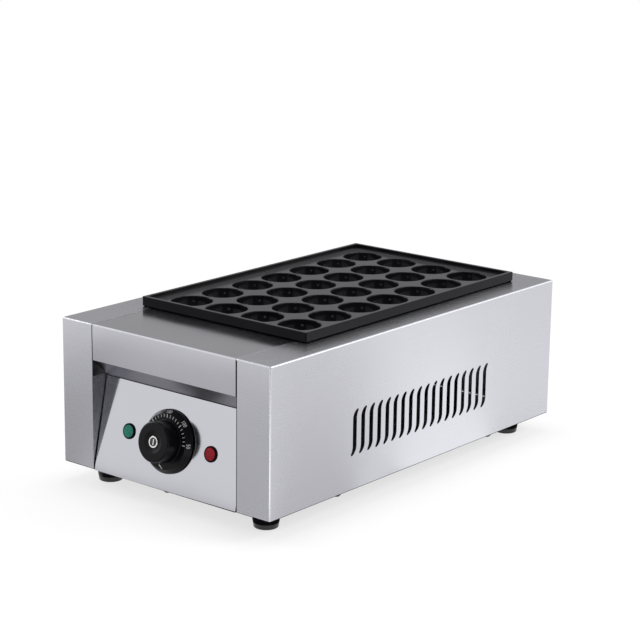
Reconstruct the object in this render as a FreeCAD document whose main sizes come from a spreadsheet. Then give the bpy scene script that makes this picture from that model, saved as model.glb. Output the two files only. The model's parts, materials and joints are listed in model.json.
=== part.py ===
"""Electric takoyaki maker: a folded stainless housing with a lift-off cast plate of round cups.

Millimetres, +Z up, +X to the right seen from the front, +Y to the back. The origin lies on the
surface that the feet stand on, under the middle of the housing.
"""
import FreeCAD
import Part
import Sketcher
import math
import os
import re

Vector = FreeCAD.Vector
X, Y, Z = Vector(1, 0, 0), Vector(0, 1, 0), Vector(0, 0, 1)

# Driving dimensions in millimetres, degrees and counts: alias, value, meaning.
SIZES = [
    ("body_width", 259, "housing, left to right"),
    ("body_depth", 442, "housing, front to back"),
    ("body_height", 142, "housing, without the feet"),
    ("sheet_gauge", 1, "stainless sheet"),
    ("bend_radius", 1.5, "outside radius of a fold"),
    ("overrun", 1, "cutting tool beyond the solid that it cuts"),
    ("post_width", 39.5, "front, top, rear and bottom flanges of a side panel"),
    ("lip_depth", 12, "fold at the inner edge of those flanges"),
    ("front_seam", 1, "gap between a post and the apron"),
    ("top_seam", 0.3, "gap between a top flange and a deck"),
    ("apron_height", 34.5, "front apron below the deck"),
    ("cheek_margin", 2.46, "cheek at the inner edge of a post, above the control panel"),
    ("panel_lean", 11.9, "degrees that the control panel leans back"),
    ("panel_length", 91, "control panel, up its slope"),
    ("panel_gap", 1.2, "gap between the control panel and a cheek"),
    ("panel_flange", 20, "bottom flange of the control panel"),
    ("tuck_depth", 10, "fold of the front cover behind the control panel"),
    ("vent_count", 18, "slots in one side panel"),
    ("vent_pitch", 12.1, "slot to slot"),
    ("vent_width", 5.6, "slot at its middle"),
    ("vent_straight", 26, "upright stretch of a slot"),
    ("vent_height", 44.2, "slot from tip to tip"),
    ("vent_sway", 3.9, "a tip's distance from the slot's middle line"),
    ("vent_tip_radius", 1.3, "round end of a slot"),
    ("vent_level", 55.4, "slot's middle above the housing's bottom"),
    ("rear_cover_lap", 14, "rear cover over a rear flange"),
    ("rear_cover_margin", 9, "rear cover to the housing's top"),
    ("rear_screw_margin", 24.4, "outer rear screws to the housing's top and bottom"),
    ("rear_drop", 34, "rear deck's fold down the back"),
    ("foot_height", 19, "rubber foot"),
    ("foot_top_radius", 14, "foot under the housing"),
    ("foot_base_radius", 11.4, "foot on the table"),
    ("foot_edge_radius", 1.4, "round at the foot's lower edge"),
    ("foot_inset", 31, "foot's axis from the housing's side and front"),
    ("foot_well_radius", 6, "well for the screw's head in the foot"),
    ("foot_grip", 8, "rubber between the screw's head and the housing"),
    ("foot_screw_radius", 2.5, "M5 screw"),
    ("foot_head_radius", 4.8, "pan head of an M5 screw"),
    ("foot_head_height", 3.5, "pan head of an M5 screw"),
    ("foot_nut_radius", 4.6, "M5 nut, across its corners"),
    ("foot_nut_height", 4, "M5 nut"),
    ("foot_screw_end", 1.5, "foot's screw beyond its nut"),
    ("screw_radius", 2, "M4 screw"),
    ("screw_head_radius", 4, "pan head of an M4 screw"),
    ("screw_head_height", 3.3, "pan head of an M4 screw"),
    ("screw_length", 7, "M4 screw under its head"),
    ("hole_play", 0.25, "radial room of a screw in its hole"),
    ("thread_play", 0.05, "radial room of a screw in its thread"),
    ("base_screw_inset", 6.5, "base screw's axis from the housing's edge"),
    ("base_screw_reach", 120, "side base screw's axis from the middle"),
    ("plate_side_margin", 27, "deck beside the baking plate"),
    ("plate_front_margin", 79.5, "deck in front of the baking plate"),
    ("plate_rear_margin", 33.5, "deck behind the baking plate"),
    ("plate_edge_radius", 0.8, "round at the rim's edges"),
    ("rim_height", 10, "plate's rim above the deck"),
    ("rim_wall", 4, "rim's thickness"),
    ("tray_depth", 4.6, "rim's top to the face between the cups"),
    ("web_thickness", 4, "casting between the cups"),
    ("cup_radius", 20, "cup's half sphere"),
    ("cup_wall", 2, "casting around a cup"),
    ("cup_lip_radius", 0.6, "round at a cup's mouth"),
    ("cup_land_x", 5, "web between the mouths of two cups, left to right"),
    ("cup_land_y", 4, "web between the mouths of two cups, front to back"),
    ("cup_margin", 6, "least room between the rim and the outermost cups"),
    ("opening_clearance", 3, "deck opening around the cups"),
    ("peg_radius", 3, "locating peg under the plate"),
    ("peg_depth", 7, "locating peg below the deck's face"),
    ("peg_play", 0.8, "locating peg to the opening's edge"),
    ("heater_radius", 4, "sheathed heater tube"),
    ("heater_drop", 4, "gap between a cup and the heater tube"),
    ("heater_tail", 12, "heater tube in front of the bulkhead"),
    ("heater_rear_gap", 12, "heater's bend to the opening's rear edge"),
    ("bead_radius", 4.6, "ceramic bead at a heater's end"),
    ("bead_length", 7, "ceramic bead"),
    ("stud_radius", 1.6, "stud at a heater's end"),
    ("stud_length", 12, "stud in front of its bead"),
    ("bracket_gauge", 1.5, "heater bracket"),
    ("bracket_margin", 5, "bracket beyond its outermost tube"),
    ("bracket_crown", 2, "bracket above its tubes"),
    ("bulb_tab_margin", 3, "bracket's tab around the bulb"),
    ("tube_play", 0.15, "radial room of a tube in its bracket"),
    ("bulb_radius", 3, "thermostat bulb"),
    ("bulb_length", 80, "thermostat bulb"),
    ("bulb_rise", 9.6, "bulb above the heater's middle"),
    ("bulb_tail", 6, "bulb in front of its bracket"),
    ("capillary_radius", 0.8, "capillary tube"),
    ("capillary_lead", 16, "capillary tube's run out of the thermostat"),
    ("capillary_setback", 44, "capillary tube's last bend in front of the bulkhead"),
    ("reflector_drop", 15, "reflector's floor below the heater tube"),
    ("reflector_side_reach", 7.5, "reflector's side beyond the opening's"),
    ("reflector_headroom", 0.6, "reflector's side wall below the lips of the decks"),
    ("reflector_gap", 3, "reflector to the ends of the opening"),
    ("stand_inset", 30, "reflector stand's leg inside the reflector's side"),
    ("stand_depth", 24, "reflector stand, front to back"),
    ("bulkhead_setback", 5, "bulkhead in front of the deck opening"),
    ("bulkhead_flange", 15, "flanges at the bulkhead's top and bottom"),
    ("bulkhead_hole_play", 0.6, "radial room of a tube in the bulkhead"),
    ("control_rise", 46, "knob's axis above the panel's lower edge"),
    ("lamp_rise", 45, "lamp's axis above the panel's lower edge"),
    ("lamp_offset", 51.3, "lamp's axis from the middle"),
    ("bezel_radius", 7.5, "lamp's bezel"),
    ("bezel_height", 1.4, "lamp's bezel above the panel"),
    ("lens_radius", 5.9, "lamp's lens"),
    ("lens_rise", 0.9, "lens above its bezel"),
    ("lens_seat", 1, "lens set into its bezel"),
    ("lens_round", 0.8, "round at the lens's edge"),
    ("lamp_body_radius", 5, "lamp behind the panel"),
    ("lamp_body_length", 26, "lamp behind the panel"),
    ("lamp_nut_radius", 8, "lamp's nut, across its corners"),
    ("lamp_nut_height", 4, "lamp's nut"),
    ("skirt_radius", 29.8, "knob's skirt"),
    ("skirt_lift", 1, "skirt above the panel"),
    ("skirt_edge", 1.2, "upright edge of the skirt"),
    ("skirt_rise", 6, "skirt's cone above the panel"),
    ("dial_radius", 25.8, "top of the skirt's cone"),
    ("cap_radius", 19.6, "knob's cap where it meets the skirt"),
    ("cap_seat", 7, "foot of the cap above the panel"),
    ("cap_taper", 0.6, "cap's narrowing to its face"),
    ("cap_top", 22.6, "cap's face above the panel"),
    ("cap_round", 2.2, "round at the cap's face"),
    ("dish_radius", 10.5, "dish in the cap's face"),
    ("dish_depth", 1.3, "dish in the cap's face"),
    ("knob_wall", 2.2, "moulding's wall"),
    ("hub_radius", 6.5, "knob's hub around the shaft"),
    ("hub_foot", 2.6, "hub's lower end above the panel"),
    ("badge_radius", 5.4, "ring set in the dish"),
    ("badge_hole_radius", 4.1, "ring's inside"),
    ("badge_height", 0.9, "ring above the dish's floor"),
    ("shaft_radius", 3, "thermostat's shaft"),
    ("shaft_play", 0.05, "radial running clearance"),
    ("shaft_top", 15.5, "shaft's end above the panel"),
    ("shaft_depth", 18, "shaft's end behind the panel"),
    ("shaft_flat", 1.2, "depth of the flat on the shaft"),
    ("flat_start", 3.6, "lower end of the flat above the panel"),
    ("shaft_end_gap", 0.2, "shaft's end to the bottom of the hub's bore"),
    ("bush_radius", 5, "thermostat's bush"),
    ("bush_lift", 1.8, "bush above the panel"),
    ("thermostat_width", 42, "thermostat's case"),
    ("thermostat_height", 34, "thermostat's case"),
    ("thermostat_depth", 27, "thermostat's case"),
    ("thermostat_plate", 1.5, "thermostat's mounting plate"),
    ("thermostat_plate_width", 46, "thermostat's mounting plate"),
    ("thermostat_plate_height", 17, "thermostat's mounting plate"),
    ("fixing_head_height", 2, "head of a thermostat's screw"),
    ("thermostat_spacing", 28, "thermostat's two screws"),
    ("spade_width", 6.3, "thermostat's terminal"),
    ("spade_gauge", 0.8, "thermostat's terminal"),
    ("spade_length", 8, "thermostat's terminal"),
    ("gland_inset", 69.5, "cable gland's axis from the housing's left side"),
    ("gland_level", 30, "cable gland's axis above the housing's bottom"),
    ("cable_radius", 4.5, "cable's way through the gland's seal"),
    ("seal_wall", 2.4, "gland's seal around the cable"),
    ("gland_wall", 2.2, "gland's thread around the seal"),
    ("gland_flange_radius", 13, "gland's hexagon, across its corners"),
    ("gland_flange_height", 4.6, "gland's hexagon"),
    ("gland_thread_out", 7, "gland's thread behind its hexagon"),
    ("gland_thread_in", 9, "gland's thread inside the rear cover"),
    ("locknut_height", 5, "gland's nut inside the rear cover"),
    ("dome_wall", 2.2, "dome nut around the gland's thread"),
    ("dome_length", 10.4, "gland's dome nut"),
    ("dome_gap", 0.4, "dome nut to the gland's hexagon"),
    ("dome_seat_gap", 0.2, "dome nut's inside to the gland's thread end"),
    ("dome_mouth_wall", 3.3, "dome nut around the cable"),
    ("gland_way_play", 1, "gland's inside around the cable"),
    ("block_width", 50, "terminal block"),
    ("block_depth", 20, "terminal block"),
    ("block_height", 22, "terminal block"),
    ("block_setback", 30, "terminal block's middle in front of the rear cover"),
    ("block_ways", 3, "ways in the terminal block"),
    ("wire_hole_radius", 2.4, "terminal block's wire holes"),
    ("clamp_screw_radius", 2, "terminal block's screws"),
    ("clamp_screw_depth", 6, "terminal block's screws"),
    ("clamp_screw_sink", 1, "terminal block's screws below its top"),
]

# Places worked out from those dimensions: alias, rule.
PLACES = [
    ("half_width", "body_width / 2"),
    ("half_depth", "body_depth / 2"),
    ("body_floor", "foot_height"),
    ("base_floor", "body_floor + sheet_gauge"),
    ("base_top", "base_floor + sheet_gauge"),
    ("body_top", "foot_height + body_height"),
    ("deck_floor", "body_top - sheet_gauge"),
    ("inner_edge", "half_width - post_width"),
    ("deck_half_width", "inner_edge - top_seam"),
    ("apron_half_width", "inner_edge - front_seam"),
    ("panel_half_width", "inner_edge - panel_gap"),
    ("bulkhead_half_width", "deck_half_width - 2 * sheet_gauge"),
    ("apron_foot", "body_top - apron_height"),
    ("lean_sine", "sin(panel_lean * 1 deg)"),
    ("lean_cosine", "cos(panel_lean * 1 deg)"),
    ("cheek_height", "panel_length * lean_cosine + cheek_margin"),
    ("cheek_run", "cheek_height * lean_sine / lean_cosine"),
    ("tuck_y", "(panel_length * lean_sine - half_depth) + sheet_gauge * lean_cosine"),
    ("tuck_z", "body_floor + panel_length * lean_cosine - sheet_gauge * lean_sine"),
    ("return_run", "tuck_y + half_depth"),
    ("return_fall", "apron_foot - tuck_z"),
    ("return_rise", "sheet_gauge * sqrt(return_run * return_run + return_fall * return_fall) / return_run"),
    ("plate_width", "body_width - 2 * plate_side_margin"),
    ("plate_length", "body_depth - plate_front_margin - plate_rear_margin"),
    ("plate_middle", "plate_front_margin + plate_length / 2 - half_depth"),
    ("web_top", "body_top + rim_height - tray_depth"),
    ("cup_outer", "cup_radius + cup_wall"),
    ("cup_pitch_x", "2 * cup_radius + cup_land_x"),
    ("cup_pitch_y", "2 * cup_radius + cup_land_y"),
    ("end_room", "2 * (rim_wall + cup_margin + cup_outer)"),
    ("cups_across", "1 + floor((plate_width - end_room) / cup_pitch_x)"),
    ("cups_along", "1 + floor((plate_length - end_room) / cup_pitch_y)"),
    ("first_cup_x", "-(cups_across - 1) * cup_pitch_x / 2"),
    ("first_cup_y", "plate_middle - (cups_along - 1) * cup_pitch_y / 2"),
    ("opening_half_x", "cup_outer + opening_clearance - first_cup_x"),
    ("opening_half_y", "plate_middle - first_cup_y + cup_outer + opening_clearance"),
    ("opening_front", "plate_middle - opening_half_y"),
    ("opening_rear", "plate_middle + opening_half_y"),
    ("heater_level", "web_top - cup_outer - heater_drop - heater_radius"),
    ("heater_bend", "-first_cup_x / 3"),
    ("heater_rear", "opening_rear - heater_rear_gap - heater_bend - heater_radius"),
    ("bulkhead_face", "opening_front - bulkhead_setback"),
    ("heater_front", "bulkhead_face - sheet_gauge - heater_tail"),
    ("bracket_front", "first_cup_y + cup_pitch_y / 2"),
    ("bracket_rear", "first_cup_y + (cups_along - 1.5) * cup_pitch_y"),
    ("bulb_level", "heater_level + bulb_rise"),
    ("bulb_x", "first_cup_x + (cups_across - 1.5) * cup_pitch_x"),
    ("reflector_floor", "heater_level - heater_radius - reflector_drop"),
    ("reflector_half_width", "opening_half_x + reflector_side_reach"),
    ("reflector_wall", "body_top - lip_depth - reflector_headroom - reflector_floor"),
    ("stand_half_width", "reflector_half_width - stand_inset"),
    ("foot_x", "half_width - foot_inset"),
    ("foot_y", "half_depth - foot_inset"),
    ("foot_seat", "foot_height - foot_grip"),
    ("gland_x", "gland_inset - half_width"),
    ("gland_z", "body_floor + gland_level"),
    ("gland_y", "half_depth + sheet_gauge"),
    ("seal_radius", "cable_radius + seal_wall"),
    ("gland_radius", "seal_radius + gland_wall"),
    ("dome_radius", "gland_radius + dome_wall"),
    ("block_y", "half_depth - block_setback"),
]

SIDES = (("left", -1), ("right", 1))
ENDS = (("front", -1), ("rear", 1))

doc = FreeCAD.newDocument("takoyaki_maker")
subparts = []


def rule(text):
    """Turn a rule on plain alias names into an expression on the two spreadsheets."""
    sizes, places = {row[0] for row in SIZES}, {row[0] for row in PLACES}

    def full_name(found):
        word = found.group(0)
        if word in sizes:
            return "Sizes." + word
        return "Places." + word if word in places else word

    return re.sub(r"[a-z][a-z_0-9]*", full_name, str(text))


def fill_sheet(name, cells):
    """Write a spreadsheet whose cells have aliases: alias, content and what it means."""
    sheet = doc.addObject("Spreadsheet::Sheet", name)
    for number, (alias, content, meaning) in enumerate(cells, start=1):
        sheet.set(f"A{number}", meaning)
        sheet.set(f"B{number}", content)
        sheet.setAlias(f"B{number}", alias)
    doc.recompute()
    return sheet


def value(text):
    """The number that a rule gives now."""
    return float(places_sheet.evalExpression(rule(text)))


def bind(item, rules):
    """Bind each named property of an object to its rule."""
    for name, text in rules.items():
        item.setExpression(name, rule(text))
    return item


def move(item, corner):
    """Bind an object's place to three rules."""
    return bind(item, {f"Placement.Base.{axis}": text for axis, text in zip("xyz", corner)})


def keep(item, label):
    """Name a finished sub-part and put it on the list of files to write."""
    item.Label = label
    subparts.append(item)
    return item


def put_on_panel(item, across="0", rise="0", out="0"):
    """Place a piece on the control panel, its own Z axis pointing out of the panel's face."""
    item.Placement.Rotation = FreeCAD.Rotation(X, 90)
    bind(item, {"Placement.Rotation.Angle": "90 - panel_lean"})
    slope_y = f"({rise}) * lean_sine - ({out}) * lean_cosine - half_depth"
    slope_z = f"({rise}) * lean_cosine + ({out}) * lean_sine + body_floor"
    return move(item, (across, slope_y, slope_z))


# ---------------------------------------------------------------- solids from primitives

def block(name, size, corner):
    """A box given by three lengths and its lowest corner."""
    item = doc.addObject("Part::Box", name)
    bind(item, dict(zip(("Length", "Width", "Height"), size)))
    return move(item, corner)


def rod(name, radius, length, start, axis=Z):
    """A cylinder from a start point along an axis."""
    item = doc.addObject("Part::Cylinder", name)
    item.Placement.Rotation = FreeCAD.Rotation(Z, axis)
    bind(item, {"Radius": radius, "Height": length})
    return move(item, start)


def hexagon(name, corner_radius, length, start, axis=Z):
    """A six-sided prism from a start point along an axis."""
    item = doc.addObject("Part::Prism", name)
    item.Polygon = 6
    item.Placement.Rotation = FreeCAD.Rotation(Z, axis)
    bind(item, {"Circumradius": corner_radius, "Height": length})
    return move(item, start)


def fuse(name, pieces):
    """Join pieces into one solid."""
    item = doc.addObject("Part::MultiFuse", name)
    item.Shapes = pieces
    item.Refine = True
    return item


def group(name, pieces):
    """Hold separate solids together as one sub-part."""
    item = doc.addObject("Part::Compound", name)
    item.Links = pieces
    return item


def cut(name, base, tools):
    """Take the tools out of the base."""
    item = doc.addObject("Part::Cut", name)
    item.Base = base
    item.Tool = tools[0] if len(tools) == 1 else fuse(name + "_tools", tools)
    item.Refine = True
    return item


def pan_screw(name, sizes, start, axis):
    """A screw whose head starts at a point and whose shank runs on along the axis."""
    head_radius, head_height, radius, length = sizes
    head = rod(name + "_head", head_radius, head_height, start, axis)
    steps = [f"({at}) + ({head_height}) * {step:.0f}" for at, step in zip(start, axis)]
    shank = rod(name + "_shank", radius, length, steps, axis)
    return fuse(name, [head, shank])


# ---------------------------------------------------------------- part design bodies

def origin_feature(body, role):
    """The body's own origin plane or axis of that role."""
    return next(item for item in body.Origin.OriginFeatures if item.Role == role)


def new_body(name):
    """An empty part design body."""
    return doc.addObject("PartDesign::Body", name)


def add_box(body, name, size, corner, kind="Additive"):
    """A box added to a body, or taken out of it where kind is Subtractive."""
    item = body.newObject(f"PartDesign::{kind}Box", name)
    bind(item, dict(zip(("Length", "Width", "Height"), size)))
    return move(item, corner)


def add_rod(body, name, radius, length, start, kind="Additive"):
    """An upright cylinder added to a body, or taken out of it where kind is Subtractive."""
    item = body.newObject(f"PartDesign::{kind}Cylinder", name)
    bind(item, {"Radius": radius, "Height": length})
    return move(item, start)


def new_sketch(body, name, role):
    """An empty sketch on one of the body's origin planes."""
    sketch = body.newObject("Sketcher::SketchObject", name)
    sketch.AttachmentSupport = (origin_feature(body, role), [""])
    sketch.MapMode = "FlatFace"
    return sketch


def constrain(sketch, text, kind, *places):
    """Add a measured constraint and bind it to its rule."""
    made = sketch.addConstraint(Sketcher.Constraint(kind, *places, value(text)))
    sketch.setExpression(f"Constraints[{made}]", rule(text))


def pin_point(sketch, edge, end, across, up):
    """Bind one point of a sketch edge to two rules, measured from the sketch's origin."""
    for kind, text, axis in (("DistanceX", across, -2), ("DistanceY", up, -1)):
        if text == "0":
            sketch.addConstraint(Sketcher.Constraint("PointOnObject", edge, end, axis))
        else:
            constrain(sketch, text, kind, -1, 1, edge, end)


def outline_sketch(body, name, role, corners):
    """A closed outline of straight edges whose corners are bound to pairs of rules."""
    sketch = new_sketch(body, name, role)
    spots = [Vector(value(across), value(up), 0) for across, up in corners]
    for number, spot in enumerate(spots):
        following = spots[(number + 1) % len(spots)]
        sketch.addGeometry(Part.LineSegment(spot, following), False)
    for number in range(len(spots)):
        joined = Sketcher.Constraint("Coincident", number, 2, (number + 1) % len(spots), 1)
        sketch.addConstraint(joined)
    for number, (across, up) in enumerate(corners):
        pin_point(sketch, number, 1, across, up)
    return sketch


def pad(body, name, sketch, length, both_ways=False):
    """Pad a sketch by a bound length, one way or half to each side."""
    item = body.newObject("PartDesign::Pad", name)
    item.Profile = sketch
    item.Midplane = both_ways
    return bind(item, {"Length": length})


def revolve(body, name, corners):
    """Revolve an outline of radius and height pairs about the body's Z axis."""
    sketch = outline_sketch(body, name + "_outline", "XZ_Plane", corners)
    item = body.newObject("PartDesign::Revolution", name)
    item.Profile = sketch
    item.ReferenceAxis = (sketch, ["V_Axis"])
    item.Angle = 360
    return item


def round_edges(body, name, base, radius, wanted):
    """Fillet the base's edges that a test picks out."""
    doc.recompute()
    edges = [f"Edge{n}" for n, edge in enumerate(base.Shape.Edges, start=1) if wanted(edge)]
    item = body.newObject("PartDesign::Fillet", name)
    item.Base = (base, edges)
    return bind(item, {"Radius": radius})


def lies_at(edge, **marks):
    """Whether an edge lies wholly at the given x, y or z."""
    box = edge.BoundBox
    spans = {"x": (box.XMin, box.XMax), "y": (box.YMin, box.YMax), "z": (box.ZMin, box.ZMax)}
    return all(abs(end - mark) < 1e-3 for axis, mark in marks.items() for end in spans[axis])


# ---------------------------------------------------------------- housing

def near_end(arc, spot):
    """The number of the arc's end that lies at a spot: 1 for its start, 2 for its end."""
    first, last = arc.StartPoint.distanceToPoint(spot), arc.EndPoint.distanceToPoint(spot)
    return 1 if first < last else 2


def add_arc(sketch, centre, one, other):
    """Add an arc that runs counterclockwise, the short way between two spots."""
    if (one - centre).cross(other - centre).z < -1e-6:
        one, other = other, one
    angles = [math.atan2(spot.y - centre.y, spot.x - centre.x) for spot in (one, other)]
    circle = Part.Circle(centre, Z, one.distanceToPoint(centre))
    sketch.addGeometry(Part.ArcOfCircle(circle, *angles), False)


def vent_sketch(body):
    """One slot: upright flanks at its middle, curving to round tips that sway opposite ways."""
    sketch = new_sketch(body, "vent_outline", "YZ_Plane")
    bind(sketch, {
        "AttachmentOffset.Base.x": "-(vent_count - 1) * vent_pitch / 2",
        "AttachmentOffset.Base.y": "body_floor + vent_level",
    })
    tip_level = "vent_height / 2 - vent_tip_radius"
    tip_radius, peak = value("vent_tip_radius"), Vector(value("vent_sway"), value(tip_level), 0)
    corners, touches = [], []
    for side in (-1, 1):
        corner = Vector(side * value("vent_width / 2"), value("vent_straight / 2"), 0)
        run, rise = peak.x - corner.x, peak.y - corner.y
        # this circle is upright at the corner and touches the tip's circle
        radius = (run ** 2 + rise ** 2 - tip_radius ** 2) / (2 * (run + side * tip_radius))
        centre = Vector(corner.x + radius, corner.y, 0)
        touch = peak - (peak - centre).normalize() * side * tip_radius
        for turn in (1, -1):
            add_arc(sketch, centre * turn, corner * turn, touch * turn)
        corners.append(corner)
        touches.append(touch)
    for turn in (1, -1):
        add_arc(sketch, peak * turn, touches[0] * turn, touches[1] * turn)
    for corner, end in zip(corners, reversed(corners)):
        sketch.addGeometry(Part.LineSegment(corner, -end), False)
    meetings = [(0, 4, touches[0]), (2, 4, touches[1]), (1, 5, -touches[0]), (3, 5, -touches[1]),
                (0, 6, corners[0]), (3, 6, -corners[1]), (2, 7, corners[1]), (1, 7, -corners[0])]
    for one, other, spot in meetings:
        ends = near_end(sketch.Geometry[one], spot), near_end(sketch.Geometry[other], spot)
        sketch.addConstraint(Sketcher.Constraint("Tangent", one, ends[0], other, ends[1]))
    for line, across in ((6, "-vent_width / 2"), (7, "vent_width / 2")):
        for end, up in ((1, "vent_straight / 2"), (2, "-vent_straight / 2")):
            pin_point(sketch, line, end, across, up)
    for arc, across, up in ((4, "vent_sway", tip_level), (5, "-vent_sway", f"-({tip_level})")):
        pin_point(sketch, arc, 3, across, up)
        constrain(sketch, "vent_tip_radius", "Radius", arc)
    return sketch


def punch_vents(body):
    """Punch the row of slots through the side face."""
    slot = body.newObject("PartDesign::Pocket", "vent_slot")
    slot.Profile = vent_sketch(body)
    slot.Type = "ThroughAll"
    slot.Midplane = True
    row = body.newObject("PartDesign::LinearPattern", "vent_row")
    row.Originals = [slot]
    row.Direction = (origin_feature(body, "Y_Axis"), [""])
    bind(row, {"Length": "(vent_count - 1) * vent_pitch", "Occurrences": "vent_count"})
    body.Tip = row


def folded_side():
    """The right side panel before its screw holes: a tray with folded lips and a cheek."""
    body = new_body("folded_side")
    outside = add_box(body, "side_outside", ("post_width", "body_depth", "body_height"),
                      ("inner_edge", "-half_depth", "body_floor"))
    inner = value("inner_edge")
    round_edges(body, "side_folds", outside, "bend_radius", lambda edge: not lies_at(edge, x=inner))
    add_box(body, "side_inside", ("post_width - sheet_gauge", "body_depth - 2 * sheet_gauge",
                                  "body_height - 2 * sheet_gauge"),
            ("inner_edge", "sheet_gauge - half_depth", "base_floor"), "Subtractive")
    add_box(body, "top_lip", ("sheet_gauge", "body_depth - 2 * bend_radius", "lip_depth"),
            ("inner_edge", "bend_radius - half_depth", "body_top - lip_depth"))
    add_box(body, "front_lip", ("sheet_gauge", "lip_depth", "apron_height - bend_radius"),
            ("inner_edge", "-half_depth", "apron_foot"))
    add_box(body, "rear_lip", ("sheet_gauge", "lip_depth",
                               "body_top - bend_radius - base_top - sheet_gauge"),
            ("inner_edge", "half_depth - lip_depth", "base_top + sheet_gauge"))
    cheek = outline_sketch(body, "cheek_outline", "YZ_Plane", [
        ("-half_depth", "body_floor + bend_radius"),
        ("cheek_run - half_depth", "body_floor + cheek_height"),
        ("-half_depth", "body_floor + cheek_height"),
    ])
    bind(cheek, {"AttachmentOffset.Base.z": "inner_edge"})
    pad(body, "cheek", cheek, "sheet_gauge")
    notch_side = "max(opening_half_x; inner_edge + sheet_gauge)"
    add_box(body, "opening_notch", (f"{notch_side} - inner_edge + sheet_gauge", "2 * opening_half_y",
                                    "lip_depth + 2 * sheet_gauge"),
            ("inner_edge - sheet_gauge", "opening_front", "deck_floor - lip_depth"), "Subtractive")
    punch_vents(body)
    return body


def base_screw_spots():
    """Where screws pass through the housing's bottom: name, x and y."""
    reach_x, reach_y = "(half_width - base_screw_inset)", "base_screw_reach"
    spots = [("front_middle", "0", "base_screw_inset - half_depth")]
    for side, across in SIDES:
        for end, along in ENDS:
            spots.append((f"{end}_{side}", f"{across} * {reach_x}", f"{along} * {reach_y}"))
    return spots


def foot_spots():
    """Where the feet stand: name, x and y."""
    return [(f"foot_{end}_{side}", f"{across} * foot_x", f"{along} * foot_y")
            for end, along in ENDS for side, across in SIDES]


def rear_screw_spots():
    """Where screws hold the rear cover: name, x and z."""
    across = "(inner_edge + rear_cover_lap / 2)"
    levels = (("low", "body_floor + rear_screw_margin"), ("mid", "body_floor + body_height / 2"),
              ("high", "body_top - rear_screw_margin"))
    return [(f"{level}_{side}", f"{sign} * {across}", up)
            for side, sign in SIDES for level, up in levels]


def floor_holes(name):
    """Screw holes through the sheets at the housing's bottom, on every foot and base screw."""
    reach = "2 * sheet_gauge + 2 * overrun"
    holes = []
    for spots, radius in ((foot_spots(), "foot_screw_radius"), (base_screw_spots(), "screw_radius")):
        for spot, x, y in spots:
            holes.append(rod(f"{name}_{spot}", f"{radius} + hole_play", reach,
                             (x, y, "body_floor - overrun")))
    return holes


def rear_holes(name):
    """Screw holes through the sheets at the housing's back."""
    return [rod(f"{name}_{spot}", "screw_radius + hole_play", "2 * sheet_gauge + 2 * overrun",
                (x, "half_depth - sheet_gauge - overrun", z), Y) for spot, x, z in rear_screw_spots()]


def side_panels():
    """The right side panel with its screw holes, and the left one as its mirror image."""
    tools = floor_holes("side_floor_hole") + rear_holes("side_rear_hole")
    right = keep(cut("side_right", folded_side(), tools), "side_panel_right")
    left = doc.addObject("Part::Mirroring", "side_left")
    left.Source = right
    left.Normal = X
    keep(left, "side_panel_left")


def front_cover():
    """Front deck, apron and the inclined return that ends behind the control panel."""
    body = new_body("front_sheet")
    add_box(body, "front_deck", ("2 * deck_half_width", "opening_front + half_depth - bend_radius",
                                 "sheet_gauge"),
            ("-deck_half_width", "bend_radius - half_depth", "deck_floor"))
    add_box(body, "front_nose", ("2 * apron_half_width", "2 * bend_radius", "sheet_gauge"),
            ("-apron_half_width", "-half_depth", "deck_floor"))
    add_box(body, "apron", ("2 * apron_half_width", "sheet_gauge", "apron_height"),
            ("-apron_half_width", "-half_depth", "apron_foot"))
    for side, across in SIDES:
        edge = f"{across} * (deck_half_width - sheet_gauge / 2) - sheet_gauge / 2"
        add_box(body, f"front_fold_{side}", ("sheet_gauge", "opening_front + half_depth - bend_radius",
                                             "lip_depth"),
                (edge, "bend_radius - half_depth", "body_top - lip_depth"))
    slope = outline_sketch(body, "return_outline", "YZ_Plane", [
        ("-half_depth", "apron_foot"),
        ("tuck_y", "tuck_z"),
        ("tuck_y - tuck_depth * lean_sine", "tuck_z - tuck_depth * lean_cosine"),
        ("tuck_y - tuck_depth * lean_sine + sheet_gauge * lean_cosine",
         "tuck_z - tuck_depth * lean_cosine - sheet_gauge * lean_sine"),
        ("tuck_y + sheet_gauge * lean_cosine",
         "tuck_z + return_rise - sheet_gauge * lean_cosine * return_fall / return_run"),
        ("-half_depth", "apron_foot + return_rise"),
    ])
    folded = pad(body, "return", slope, "2 * panel_half_width", both_ways=True)
    front, top = -value("half_depth"), value("body_top")
    round_edges(body, "front_fold", folded, "bend_radius", lambda edge: lies_at(edge, y=front, z=top))
    keep(body, "front_cover")


def rear_deck():
    """Deck behind the baking plate, folded down the housing's back."""
    body = new_body("rear_sheet")
    depth = "half_depth - opening_rear"
    add_box(body, "rear_top", ("2 * deck_half_width", depth, "sheet_gauge"),
            ("-deck_half_width", "opening_rear", "deck_floor"))
    drop = add_box(body, "rear_drop", ("2 * deck_half_width", "sheet_gauge", "rear_drop"),
                   ("-deck_half_width", "half_depth - sheet_gauge", "body_top - rear_drop"))
    back, top = value("half_depth"), value("body_top")
    round_edges(body, "rear_fold", drop, "bend_radius", lambda edge: lies_at(edge, y=back, z=top))
    keep(body, "rear_deck")


def rear_cover():
    """Flat cover screwed over the housing's back, with the cable gland's hole."""
    sheet = block("rear_sheet_flat", ("2 * (inner_edge + rear_cover_lap)", "sheet_gauge",
                                      "body_height - rear_cover_margin - bend_radius"),
                  ("-inner_edge - rear_cover_lap", "half_depth", "body_floor + bend_radius"))
    gland_hole = rod("gland_hole", "gland_radius + hole_play", "sheet_gauge + 2 * overrun",
                     ("gland_x", "half_depth - overrun", "gland_z"), Y)
    keep(cut("rear_cut", sheet, rear_holes("cover_hole") + [gland_hole]), "rear_cover")


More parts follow.
